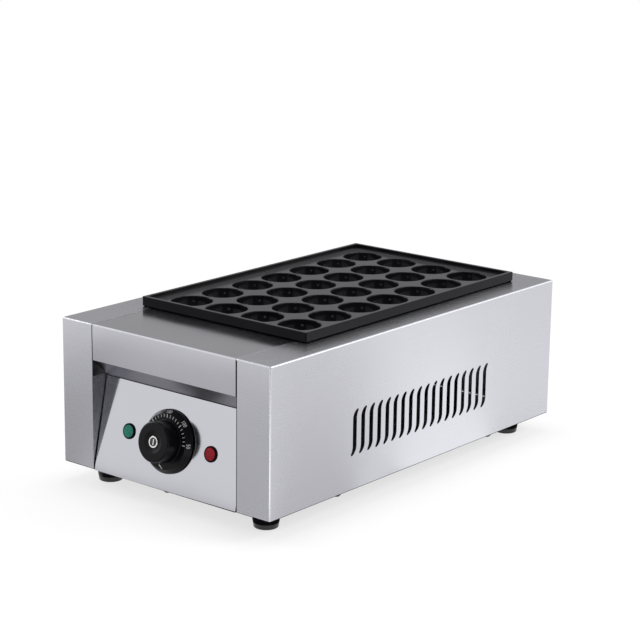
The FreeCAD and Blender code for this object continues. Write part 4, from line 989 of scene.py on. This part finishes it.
@dataclass
class Housing:
    """The folded sheets: two sides, front cover, rear deck and cover, base plate, control panel."""

    outer: dict[str, Finish] = field(default_factory=lambda: {
        "side_panel_left": STEEL_ALONG, "side_panel_right": STEEL_ALONG, "front_cover": STEEL_ACROSS,
        "rear_deck": STEEL_ACROSS, "rear_cover": STEEL_ACROSS, "control_panel": PANEL_STEEL})
    inner: tuple[str, ...] = ("base_plate", "bulkhead", "reflector_tray", "reflector_stand_front",
                              "reflector_stand_rear", "heater_bracket_front", "heater_bracket_rear")
    bend: float = 1.1 * MM
    seam: float = 0.8 * MM
    shade_wedge_from: float = 35 * MM
    shade_wedge_slope: float = 0.006
    below_to: float = 0.2
    front_to: float = 0.5
    turned_to: float = 0.3
    level_from: float = 0.98
    upright_to: float = 0.1

    def __post_init__(self) -> None:
        """Find where the sheets' painted shade ends."""
        self.low, self.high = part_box("control_panel")
        # painted shade: a slanted plane bounds a thin dark wedge along the control panel's lower edge, wider
        # towards the right
        self.shade_wedge = (self.low + Vector((self.shade_wedge_from, 0, 0)), Vector((-self.shade_wedge_slope, 0, 1)))
        self.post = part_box("side_panel_right")[0] + Vector((self.seam, 0, 0))

    def is_underside(self, face: Face) -> bool:
        """Tell whether a face of the front cover looks down, over the controls or under the deck."""
        return face.normal.z < -self.below_to

    def in_shade_wedge(self, face: Face) -> bool:
        """Tell whether a face of the control panel lies in the wedge of painted shade along its lower edge."""
        edge, slope = self.shade_wedge
        return face.normal.y < -self.front_to and (face.center - edge).dot(slope) < 0

    def in_bend_or_seam_shade(self, face: Face) -> bool:
        """Tell whether a face lies on a bottom bend, or in the seam beside the control panel, where shade is
        painted.
        """
        spot, way = face.center, face.normal
        on_bend = spot.z < self.low.z + self.bend and -self.level_from < way.z < -self.turned_to
        in_seam = (self.high.x < spot.x < self.post.x and spot.y < self.low.y + self.bend
                   and way.y < -self.turned_to and abs(way.z) < self.upright_to)
        return on_bend or in_seam

    def build(self) -> None:
        """Dress each sheet, with painted shade on the front cover's downward faces, along the control panel's
        lower edge, and on the other sheets' bottom bends and the seam beside the control panel.
        """
        splits = {"side_panel_right": (self.post, Vector((-1, 0, 0))), "control_panel": self.shade_wedge}
        # painted shade: darker finishes go on the faces that lie in shade, chosen face by face
        second = {"front_cover": (SHADED_UNDERSIDE_STEEL, self.is_underside),
                  "control_panel": (BEND_SHADE, self.in_shade_wedge)}
        for node, finish in self.outer.items():
            sheet = skin(node, Body.HOUSING, finish, splits.get(node))
            shade_finish, chosen = second.get(node, (BEND_SHADE, self.in_bend_or_seam_shade))
            sheet.data.materials.append(shade_finish.material())
            for face in sheet.data.polygons:
                face.material_index = int(chosen(face))
        for node in self.inner:
            skin(node, Body.HOUSING, SHADED_INNER_STEEL)


@dataclass
class Heating:
    """Heaters, thermostat, capillary and terminal block, which show when the plate is lifted."""

    finishes: dict[str, tuple[str, Finish]] = field(default_factory=lambda: {
        "heater_left": ("heater_sheath", SHEATH), "heater_right": ("heater_sheath", SHEATH),
        "heater_terminals": ("plated_steel", PLATED), "thermostat_bulb": ("copper", COPPER),
        "capillary_tube": ("copper", COPPER), "thermostat_body": ("matte_black", BLACK_PLASTIC),
        "thermostat_screws": ("plated_steel", PLATED), "terminal_block": ("ceramic", CERAMIC),
        "terminal_screws": ("plated_steel", PLATED), "foot_nuts": ("plated_steel", PLATED),
        "lamp_green_nut": ("matte_black", BLACK_PLASTIC),
        "lamp_red_nut": ("matte_black", BLACK_PLASTIC),
        "gland_locknut": ("matte_black", GLAND_PLASTIC),
        "gland_body": ("matte_black", GLAND_PLASTIC), "gland_seal": ("seal_rubber", RUBBER)})

    def build(self) -> None:
        """Dress each piece."""
        for node, (slot, finish) in self.finishes.items():
            skin(node, Body.HOUSING, finish)
        skin("thermostat_shaft", Body.KNOB, PLATED)


# ------------------------------------------------------------------ controls


def on_panel(across: float = 0.0, rise: float = 0.0) -> Matrix:
    """Return the place of a point on the control panel, with local Z out of its face.

    Args:
        across: To the right of the knob's axis.
        rise: Up the slope from the knob's axis.

    Returns:
        The place, with local X to the right and local Y up the slope.
    """
    joint = next(joint for joint in frame["joints"] if joint["name"] == "knob_turn")
    out = -Vector(joint["axis"]).normalized()
    right = Vector((1, 0, 0))
    turn = Matrix((right, out.cross(right), out)).transposed().to_4x4()
    return Matrix.Translation(joint["pos_m"]) @ turn @ Matrix.Translation((across, rise, 0))


@dataclass
class Knob:
    """The thermostat's knob: a skirt that carries the dial, a cap, and a ring round a small disc."""

    skirt_radius: float = 29.8 * MM
    skirt_lift: float = 1 * MM
    skirt_foot: float = 2.2 * MM
    dial_radius: float = 25.8 * MM
    dial_level: float = 7.2 * MM
    cap_radius: float = 19.6 * MM
    cap_taper: float = 0.6 * MM
    cap_top: float = 22.6 * MM
    dish_radius: float = 10.5 * MM
    dish_depth: float = 1.3 * MM
    wall: float = 2.2 * MM
    hub_radius: float = 6.5 * MM
    hub_foot: float = 2.6 * MM
    bore_radius: float = 3.1 * MM
    bore_top: float = 15.7 * MM
    ring_radius: float = 5.4 * MM
    ring_hole: float = 4.1 * MM
    ring_height: float = 0.9 * MM
    ring_seat: float = 0.2 * MM
    disc_gap: float = 0.1 * MM
    disc_rise: tuple[float, float] = (0.5 * MM, 0.3 * MM)
    bar_rise: float = 0.3 * MM
    bar_size: tuple[float, float, float] = (1.3 * MM, 5.6 * MM, 0.7 * MM)
    first_angle: float = 87.8
    step_angle: float = 44.8
    numbers: tuple[int, ...] = (50, 100, 150, 200, 250)
    number_size: float = 5.2 * MM
    number_width: float = 0.85
    number_place: tuple[float, float] = (1.2 * MM, 0.03 * MM)
    marks_between: int = 5
    mark_radius: float = 23.8 * MM
    mark_sink: float = 0.03 * MM
    long_mark: tuple[float, float, float] = (0.9 * MM, 3.4 * MM, 0.06 * MM)
    short_mark: tuple[float, float, float] = (0.6 * MM, 2.8 * MM, 0.06 * MM)
    off_mark: tuple[float, float, float] = (1.0 * MM, 5.4 * MM, 0.06 * MM)
    off_inset: float = 0.4 * MM
    off_angle: float = 181.0
    off_lean: float = 54.0

    def __post_init__(self) -> None:
        """Find the level of the dish's floor."""
        self.floor = self.cap_top - self.dish_depth

    def moulding(self) -> Mesh:
        """Make the knob's moulding, hollow inside with a hub around the shaft."""
        floor, ceiling = self.floor, self.floor - self.wall
        face = self.cap_radius - self.cap_taper
        profile = rounded([
            (0, floor), (self.dish_radius - 3 * self.dish_depth, floor, 6 * MM),
            (self.dish_radius, self.cap_top, 3 * MM), (face, self.cap_top, 2.2 * MM),
            (self.cap_radius, self.dial_level - 0.2 * MM, 0.8 * MM),
            (self.dial_radius, self.dial_level, 0.3 * MM),
            (self.skirt_radius, self.skirt_foot, 0.5 * MM),
            (self.skirt_radius, self.skirt_lift, 0.2 * MM),
            (self.skirt_radius - self.wall, self.skirt_lift),
            (self.dial_radius - self.wall / 2, self.dial_level - self.wall),
            (self.cap_radius - self.wall, self.dial_level - self.wall / 2),
            (face - self.wall, ceiling, 1 * MM), (self.hub_radius, ceiling, 0.6 * MM),
            (self.hub_radius, self.hub_foot), (self.bore_radius, self.hub_foot),
            (self.bore_radius, self.bore_top), (0, self.bore_top),
        ], steps=6)
        return turned("knob_moulding", profile, on_panel(), 96)

    def on_cone(self, angle: float, across: float, out: float, lift: float) -> Vector:
        """Return a point on the skirt's cone.

        Args:
            angle: Clockwise from the top, in degrees.
            across: Clockwise along the dial from there.
            out: Down the cone from its upper edge.
            lift: Out of the cone's surface.

        Returns:
            The point in the panel's own frame.
        """
        slope = Vector((self.skirt_radius - self.dial_radius, self.skirt_foot - self.dial_level))
        slope.normalize()
        radius = self.dial_radius + slope.x * out - slope.y * lift
        height = self.dial_level + slope.y * out + slope.x * lift
        turn = math.radians(angle) + across / (self.dial_radius + 2 * MM)
        return Vector((radius * math.sin(turn), radius * math.cos(turn), height))

    def number_mesh(self, number: int, angle: float) -> Mesh:
        """Make one number of the dial, wrapped on the cone.

        Args:
            number: What it says.
            angle: Where it stands, clockwise from the top in degrees.

        Returns:
            The number's mesh in place.
        """
        words = bpy.data.curves.new("number", "FONT")
        words.body, words.size, words.align_x = str(number), self.number_size, "CENTER"
        words.extrude, words.resolution_u, words.offset = 0.02 * MM, 3, 0.04 * MM
        holder = bpy.data.objects.new("number", words)
        bpy.context.scene.collection.objects.link(holder)
        mesh = plain_mesh(holder)
        bpy.data.objects.remove(holder)
        down, out = self.number_place
        for vert in mesh.vertices:
            across, up, lift = vert.co
            spot = self.on_cone(angle, across * self.number_width, up + down, lift + out)
            vert.co = on_panel() @ spot
        return mesh

    def ticks(self, long: bool) -> Mesh:
        """Lay out the long or the short marks round the dial, with local Y outwards."""
        spots = []
        for number in range((len(self.numbers) - 1) * self.marks_between + 1):
            if (number % self.marks_between == 0) == long:
                turn = math.radians(self.first_angle - self.step_angle * number / self.marks_between)
                spots.append(on_panel() @ Matrix.Rotation(-turn, 4, "Z") @ Matrix.Translation(
                    (0, self.mark_radius, self.dial_level - self.mark_sink)))
        tick = soft_block("tick", self.long_mark if long else self.short_mark, 0.02 * MM, 1)
        return copies_at("long_marks" if long else "short_marks", tick, spots, DIAL_INK)

    def dial(self) -> Mesh:
        """Print the dial: numbers, long and short marks and the line at the off position."""
        angles = [self.first_angle - self.step_angle * place for place in range(len(self.numbers))]
        work = opened(*map(self.number_mesh, self.numbers, angles), self.ticks(True), self.ticks(False))
        around = Matrix.Rotation(-math.radians(self.off_angle), 4, "Z")
        out = Matrix.Translation((0, self.mark_radius - self.off_inset, self.dial_level - self.mark_sink))
        lean = Matrix.Rotation(math.radians(self.off_lean), 4, "Z")
        add_block(work, self.off_mark, on_panel() @ around @ out @ lean)
        return from_work(work, "dial", FINE_WELD)

    def ring(self) -> Mesh:
        """Make the bright ring that is set in the dish."""
        seat, top = self.floor - self.ring_seat, self.floor + self.ring_height
        profile = rounded([
            (self.ring_hole, seat), (self.ring_radius, seat), (self.ring_radius, top, 0.35 * MM),
            (self.ring_hole, top, 0.3 * MM), (self.ring_hole, seat)], steps=4)
        return turned("ring", profile[:-1], on_panel())

    def disc(self) -> Mesh:
        """Make the dark disc inside the ring."""
        edge, seat = self.ring_hole - self.disc_gap, self.floor - self.disc_gap
        crown, side = (self.floor + rise for rise in self.disc_rise)
        profile = rounded([(0, crown), (edge, side, 0.1 * MM), (edge, seat), (0, seat)])
        return turned("disc", profile, on_panel(), 48)

    def bar(self) -> Mesh:
        """Make the bright bar across the disc."""
        bar = soft_block("bar", self.bar_size, 0.2 * MM, 2)
        bar.transform(on_panel() @ Matrix.Translation((0, 0, self.floor + self.bar_rise)))
        return bar

    def build(self) -> None:
        """Make and dress the knob's pieces."""
        for name, mesh, slot, finish, stands_for in (
                ("knob_moulding", self.moulding(), "black_plastic", KNOB_PLASTIC, ["knob"]),
                ("knob_dial", self.dial(), "black_plastic", DIAL_INK, []),
                ("knob_bright_ring", self.ring(), "bright_ring", BRIGHT_RING, ["knob_ring"]),
                ("knob_disc", self.disc(), "black_plastic", BLACK_PLASTIC, []),
                ("knob_bar", self.bar(), "bright_ring", BRIGHT_RING, [])):
            finish_piece(name, mesh, Body.KNOB, finish, stands_for)


@dataclass
class Lamps:
    """Two indicator lamps, each a black body with a bezel and a domed lens."""

    rise: float = -1 * MM
    bezel_radius: float = 7.5 * MM
    bezel_height: float = 1.4 * MM
    lens_radius: float = 5.9 * MM
    lens_seat: float = 1 * MM
    lens_wall: float = 0.1 * MM
    lens_rise: float = 0.6 * MM
    dome_steps: int = 8
    barrel_radius: float = 5 * MM
    barrel_length: float = 26 * MM

    def body(self, place: Matrix) -> Mesh:
        """Make the barrel and its bezel, with a seat for the lens."""
        seat, inside = self.bezel_height - self.lens_seat, self.lens_radius + 0.05 * MM
        return turned("lamp_body", rounded([
            (0, seat), (inside, seat), (inside, self.bezel_height, 0.25 * MM),
            (self.bezel_radius, self.bezel_height, 0.7 * MM), (self.bezel_radius, 0),
            (self.barrel_radius, 0), (self.barrel_radius, -self.barrel_length, 0.6 * MM),
            (0, -self.barrel_length)]), place)

    def lens(self, place: Matrix) -> Mesh:
        """Make the lens: a low dome on a short wall."""
        seat, edge = self.bezel_height - self.lens_seat, self.bezel_height + self.lens_wall
        top, reach = self.bezel_height + self.lens_rise, self.lens_radius
        dome = (reach * reach + (top - edge) ** 2) / (2 * (top - edge))
        radii = [reach * (1 - step / self.dome_steps) for step in range(self.dome_steps + 1)]
        points = [(radius, top - dome + math.sqrt(dome ** 2 - radius ** 2)) for radius in radii]
        return turned("lamp_lens", [(0, seat), (reach, seat), *points], place)

    def build(self) -> None:
        """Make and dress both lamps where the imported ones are."""
        for colour, finish in (("green", GREEN_LENS), ("red", RED_LENS)):
            low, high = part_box(f"lamp_{colour}_body")
            place = on_panel((low.x + high.x) / 2, self.rise)
            finish_piece(f"lamp_{colour}_shell", self.body(place), Body.HOUSING,
                         LAMP_RIM, [f"lamp_{colour}_body"])
            finish_piece(f"lamp_{colour}_glass", self.lens(place), Body.HOUSING,
                         finish, [f"lamp_{colour}_lens"])


# ------------------------------------------------------------------ feet, screws, gland


@dataclass
class Feet:
    """Four tapered rubber feet."""

    well_radius: float = 6 * MM
    hole_radius: float = 2.75 * MM
    grip: float = 8 * MM
    base_radius: float = 11.4 * MM
    edge_round: float = 1.4 * MM

    def build(self) -> None:
        """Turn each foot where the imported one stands."""
        for node in (f"foot_{end}_{side}" for end in ("front", "rear") for side in ("left", "right")):
            low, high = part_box(node)
            middle, top = (low + high) / 2, high.z
            profile = rounded([
                (self.hole_radius, top - self.grip), (self.well_radius, top - self.grip, 0.5 * MM),
                (self.well_radius, 0, 0.6 * MM), (self.base_radius, 0, self.edge_round),
                ((high.x - low.x) / 2, top, 0.4 * MM), (self.hole_radius, top)])
            mesh = turned(node, profile, Matrix.Translation((middle.x, middle.y, 0)), 56)
            finish_piece(node + "_rubber", mesh, Body.HOUSING, RUBBER, [node])


class Facing(Enum):
    """The way that a screw's head faces."""

    DOWN = Matrix.Rotation(math.pi, 4, "X")
    BACK = Matrix.Rotation(-math.pi / 2, 4, "X")


@dataclass
class PanScrews:
    """A set of pan-head screws with cross recesses."""

    node: str
    facing: Facing
    head_radius: float = 4 * MM
    head_height: float = 3.3 * MM
    shank_radius: float = 2 * MM
    tip: float = 0.6 * MM
    recess_width: float = 0.9 * MM
    turn_step: float = 0.7
    finish: Finish = PLATED

    def screw(self, length: float) -> Mesh:
        """Make one screw whose head stands on the level z = 0 and faces up.

        Args:
            length: From under the head to the tip.

        Returns:
            The screw's mesh.
        """
        head, height, shank, tip = self.head_radius, self.head_height, self.shank_radius, self.tip
        blank = turned("blank", rounded([
            (0, height), (head * 0.62, height * 0.96, head * 0.5), (head, height * 0.45, height * 0.35),
            (head, 0, 0.15 * MM), (shank, 0), (shank, -length + tip), (shank - tip, -length),
            (0, -length),
        ], steps=6), Matrix.Identity(4), 40)
        work = bmesh.new()
        for turn in (0, math.pi / 2):
            place = Matrix.Translation((0, 0, height * 0.95)) @ Matrix.Rotation(turn, 4, "Z")
            add_block(work, (head * 1.15, self.recess_width, height), place)
        cutter = bpy.data.objects.new("recess", from_work(work, "recess", 0.0))
        bpy.context.scene.collection.objects.link(cutter)

        def add_recess(holder: Thing) -> None:
            """Cut the recess with a modifier."""
            recess = holder.modifiers.new("recess", "BOOLEAN")
            recess.operation, recess.object, recess.use_self = "DIFFERENCE", cutter, True

        cut = evaluated(blank, add_recess)
        bpy.data.objects.remove(cutter)
        return cut

    def build(self) -> None:
        """Put a screw where each packed one is, each turned a little differently."""
        places = []
        for number, (low, high) in enumerate(solid_boxes(self.node)):
            seat = (low + high) / 2
            if self.facing is Facing.DOWN:
                seat.z, length = low.z + self.head_height, high.z - low.z - self.head_height
            else:
                seat.y, length = high.y - self.head_height, high.y - low.y - self.head_height
            turn = Matrix.Rotation(number * self.turn_step, 4, "Z")
            places.append(Matrix.Translation(seat) @ self.facing.value @ turn)
        mesh = copies_at(self.node + "_set", self.screw(length), places, self.finish)
        finish_piece(self.node + "_heads", mesh, Body.HOUSING, self.finish, [self.node],
                     angle=28.0)


@dataclass
class DomeNut:
    """The cable gland's dome nut behind the rear cover, with grip ribs around it."""

    bore: float = 9.15 * MM
    radius: float = 11.3 * MM
    mouth_radius: float = 4.75 * MM
    mouth_edge: float = 7.8 * MM
    inside: float = 6.8 * MM
    ribs: int = 18
    rib_size: tuple[float, float, float] = (1.3 * MM, 1.6 * MM, 4.2 * MM)
    rib_start: float = 0.5 * MM
    rib_sink: float = 0.35 * MM

    def build(self) -> None:
        """Turn the nut on the gland's axis and set its ribs."""
        low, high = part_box("gland_dome_nut")
        length, mouth = high.y - low.y, self.mouth_radius
        middle = ((low.x + high.x) / 2, low.y, (low.z + high.z) / 2)
        place = Matrix.Translation(middle) @ Facing.BACK.value
        shell = turned("dome", rounded([
            (self.bore, 0), (self.radius, 0, 0.4 * MM), (self.radius, length / 2, 2.6 * MM),
            (self.mouth_edge, length, 0.9 * MM), (mouth, length, 0.5 * MM),
            (mouth, self.inside), (self.bore, self.inside)], steps=6), place, 72)
        rise = self.rib_start + self.rib_size[2] / 2
        spot = Matrix.Translation((0, self.radius - self.rib_sink, rise))
        spots = [place @ Matrix.Rotation(math.tau * number / self.ribs, 4, "Z") @ spot
                 for number in range(self.ribs)]
        rib = soft_block("rib", self.rib_size, 0.4 * MM, 3)
        ribs = copies_at("grip_ribs", rib, spots, GLAND_PLASTIC)
        mesh = from_work(opened(shell, ribs), "dome_nut", FINE_WELD)
        finish_piece("gland_dome", mesh, Body.HOUSING, GLAND_PLASTIC, ["gland_dome_nut"])


# ------------------------------------------------------------------ studio


def stage_sheet(name: str, size: tuple[float, float], place: Matrix, shading: Shading) -> Thing:
    """Put a flat rectangle in the scene that isn't part of the object.

    Args:
        name: The rectangle's name.
        size: Its width and length.
        place: Where its middle goes and how it is turned from lying flat.
        shading: Its material's tree.

    Returns:
        The rectangle's object, with its place in its mesh.
    """
    half_x, half_y = size[0] / 2, size[1] / 2
    mesh = bpy.data.meshes.new(name)
    corners = [(-half_x, -half_y, 0), (half_x, -half_y, 0), (half_x, half_y, 0), (-half_x, half_y, 0)]
    mesh.from_pydata(corners, [], [(0, 1, 2, 3)])
    mesh.transform(place)
    mesh.materials.append(shading.material)
    sheet = bpy.data.objects.new(name, mesh)
    bpy.context.scene.collection.objects.link(sheet)
    return sheet


@dataclass
class Softbox:
    """A rectangular lamp that faces the object."""

    name: str
    place: tuple[float, float, float]
    size: tuple[float, float]
    level: float
    aim: tuple[float, float, float] = (0.0, 0.0, 0.08)

    def build(self) -> None:
        """Hang the lamp; its level is the light that it gives a white card at the object."""
        lamp = bpy.data.lights.new(self.name, "AREA")
        lamp.shape, lamp.size, lamp.size_y = "RECTANGLE", *self.size
        away = Vector(self.place) - Vector(self.aim)
        lamp.energy = self.level * (math.pi * away.length) ** 2
        holder = bpy.data.objects.new(self.name, lamp)
        holder.location = self.place
        holder.rotation_mode = "QUATERNION"
        holder.rotation_quaternion = away.to_track_quat("Z", "Y")
        holder.visible_camera = False
        bpy.context.scene.collection.objects.link(holder)


@dataclass
class Card:
    """A grey card beside the object that shows only where metal and gloss mirror it."""

    name: str
    place: tuple[float, float, float]
    size: tuple[float, float]
    level: float
    turn: float = 0.0
    aim: tuple[float, float, float] = (0.0, 0.0, 0.1)

    def away(self) -> Vector:
        """Return the way from the object to the card, which its flat stands across."""
        return Vector(self.place) - Vector(self.aim)

    def build(self) -> None:
        """Put the card in its place and turn it there."""
        stand = self.away().to_track_quat("Z", "Y").to_matrix().to_4x4()
        turn = Matrix.Rotation(math.radians(self.turn), 4, "Z")
        shading = Shading(self.name)
        shading.show(shading.add("ShaderNodeEmission", {"Color": (self.level,) * 3}).outputs[0])
        place = Matrix.Translation(self.place) @ (stand @ turn)
        card = stage_sheet(self.name, self.size, place, shading)
        card.visible_camera = card.visible_diffuse = False
        card.visible_shadow = card.visible_transmission = False


@dataclass
class Mat(Card):
    """A card that lies flat on the floor."""

    def away(self) -> Vector:
        """Return the way up, so that the card lies down."""
        return UP


@dataclass
class Studio:
    """Pale floor, white surroundings, soft lamps, grey cards and the camera."""

    camera_place: tuple[float, float, float] = (1.2003, -1.4626, 0.6253)
    camera_yaw: float = 39.3172
    camera_pitch: float = 14.436
    camera_roll: float = 0.7509
    focal_mm: float = 111.69
    sensor_mm: float = 36.0
    surround: float = 0.45
    floor_size: float = 60.0
    floor_color: float = 0.34
    floor_lift: float = 0.7
    floor_near: float = 0.3
    floor_far: float = 0.9
    lamps: tuple[Softbox, ...] = (
        Softbox("key_left", (-2.0, -0.55, 1.1), (1.1, 0.9), 0.34),
        Softbox("side_right", (1.5, 0.9, 1.4), (1.1, 0.9), 0.34),
        Softbox("overhead", (-0.1, 0.1, 1.9), (0.7, 0.7), 0.3),
    )
    cards: tuple[Card, ...] = (
        Card("card_rear_left", (-0.74, 0.9, 0.46), (1.4, 0.9), 0.4),
        Card("card_front_right", (0.85, -1.2, 0.78), (1.9, 1.9), 0.09),
        Card("card_near_camera", (0.38, -0.8, 0.4), (0.16, 0.12), 4.0),
        Card("card_right_rear", (0.92, 1.12, 0.5), (1.0, 0.5), 2.0),
        Card("card_rear_top", (0.1, 1.5, 1.3), (1.2, 0.3), 1.5),
        Card("card_ceiling", (0.0, 0.0, 2.3), (2.6, 2.6), 0.2),
        Mat("mat_front_left", (-0.175, -0.435, 0.004), (0.61, 0.39), 0.6),
        Mat("mat_post_left", (-0.298, -0.372, 0.005), (0.56, 0.08), 0.49, turn=49.0),
        Mat("mat_far_left", (-0.62, -0.93, 0.004), (0.66, 0.6), 1.0, turn=49.0),
        Mat("mat_right_middle", (0.345, 0.307, 0.004), (0.7, 0.1), 1.3, turn=50.7),
        Mat("mat_right_front", (0.345, 0.102, 0.004), (0.7, 0.08), 0.72, turn=50.7),
        Mat("mat_fold_front", (0.215, -0.59, 0.004), (0.23, 0.62), 1.9),
        Mat("mat_fold_right", (0.5, -0.36, 0.004), (0.6, 0.28), 1.3),
        Mat("mat_front_right", (0.78, -1.02, 0.004), (0.84, 0.95), 0.05),
        Mat("mat_below", (0.0, 0.0, 0.005), (0.25, 0.43), 0.03),
    )

    def camera(self) -> None:
        """Place the camera by its yaw, pitch and roll."""
        yaw, pitch, roll = map(math.radians, (self.camera_yaw, self.camera_pitch, self.camera_roll))
        back = Vector((math.sin(yaw) * math.cos(pitch), -math.cos(yaw) * math.cos(pitch),
                       math.sin(pitch)))
        right = UP.cross(back).normalized()
        up = back.cross(right)
        leaned = (right * math.cos(roll) + up * math.sin(roll),
                  up * math.cos(roll) - right * math.sin(roll))
        lens = bpy.data.cameras.new("camera")
        lens.lens, lens.sensor_width, lens.clip_end = self.focal_mm, self.sensor_mm, 100.0
        camera = bpy.data.objects.new("camera", lens)
        turn = Matrix((*leaned, back)).transposed().to_4x4()
        camera.matrix_world = Matrix.Translation(self.camera_place) @ turn
        bpy.context.scene.collection.objects.link(camera)
        bpy.context.scene.camera = camera

    @staticmethod
    def seen_rays(tree: Nodes) -> Socket:
        """Return 1 for rays that show the surroundings: seen, mirrored or through glass."""
        path = tree.add("ShaderNodeLightPath").outputs
        direct = tree.math("MAXIMUM", path["Is Camera Ray"], path["Is Glossy Ray"])
        return tree.math("MAXIMUM", direct, path["Is Transmission Ray"])

    def surroundings(self) -> None:
        """Light the scene evenly from all round, and show white to the camera and in metal."""
        world = bpy.data.worlds.new("studio")
        world.use_nodes = True
        bpy.context.scene.world = world
        tree = Nodes(world.node_tree)
        sky = world.node_tree.nodes["Background"]
        tree.feed(sky.inputs["Color"], (1.0, 1.0, 1.0))
        level = {"Value": self.seen_rays(tree), "To Min": self.surround, "To Max": 1.0}
        tree.feed(sky.inputs["Strength"], tree.add("ShaderNodeMapRange", level).outputs[0])

    def floor(self) -> None:
        """Lay a pale floor that takes the object's shadow and fades to white around it."""
        tree = Shading("pale_floor")
        seen = self.seen_rays(tree)
        away = tree.add("ShaderNodeVectorMath", {0: tree.place}, operation="LENGTH").outputs["Value"]
        fade = tree.span(away, 0, 1, self.floor_near, self.floor_far)
        paper = tree.add("ShaderNodeBsdfDiffuse", {"Color": (self.floor_color,) * 3})
        glow = tree.math("MULTIPLY", seen, self.floor_lift)
        lift = tree.add("ShaderNodeEmission", {"Strength": glow})
        near = tree.add("ShaderNodeAddShader", {0: paper.outputs[0], 1: lift.outputs[0]})
        white = tree.add("ShaderNodeEmission", {"Strength": 1.0})
        share = tree.math("MULTIPLY", seen, fade)
        both = tree.add("ShaderNodeMixShader", {0: share, 1: near.outputs[0], 2: white.outputs[0]})
        tree.show(both.outputs[0])
        stage_sheet("floor", (self.floor_size,) * 2, Matrix.Identity(4), tree)

    def build(self) -> None:
        """Set the studio up."""
        self.camera()
        self.surroundings()
        self.floor()
        for item in (*self.lamps, *self.cards):
            item.build()
        bpy.context.scene.view_settings.view_transform = "Standard"


def main() -> None:
    """Build every piece and the studio."""
    logging.basicConfig(level=logging.INFO, format="%(message)s")
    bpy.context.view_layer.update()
    builders = [
        Studio(), Housing(), BakingPlate(), Knob(), Lamps(), Feet(),
        # painted shade: the screws under the base take the darker plated steel
        PanScrews("base_screws", Facing.DOWN, finish=SHADED_PLATED),
        PanScrews("rear_screws", Facing.BACK),
        PanScrews("foot_screws", Facing.DOWN, head_radius=4.8 * MM, head_height=3.5 * MM,
                  shank_radius=2.5 * MM),
        DomeNut(), Heating(),
    ]
    for builder in builders:
        builder.build()
        log.info("%s done", type(builder).__name__)


if __name__ == "__main__":
    main()
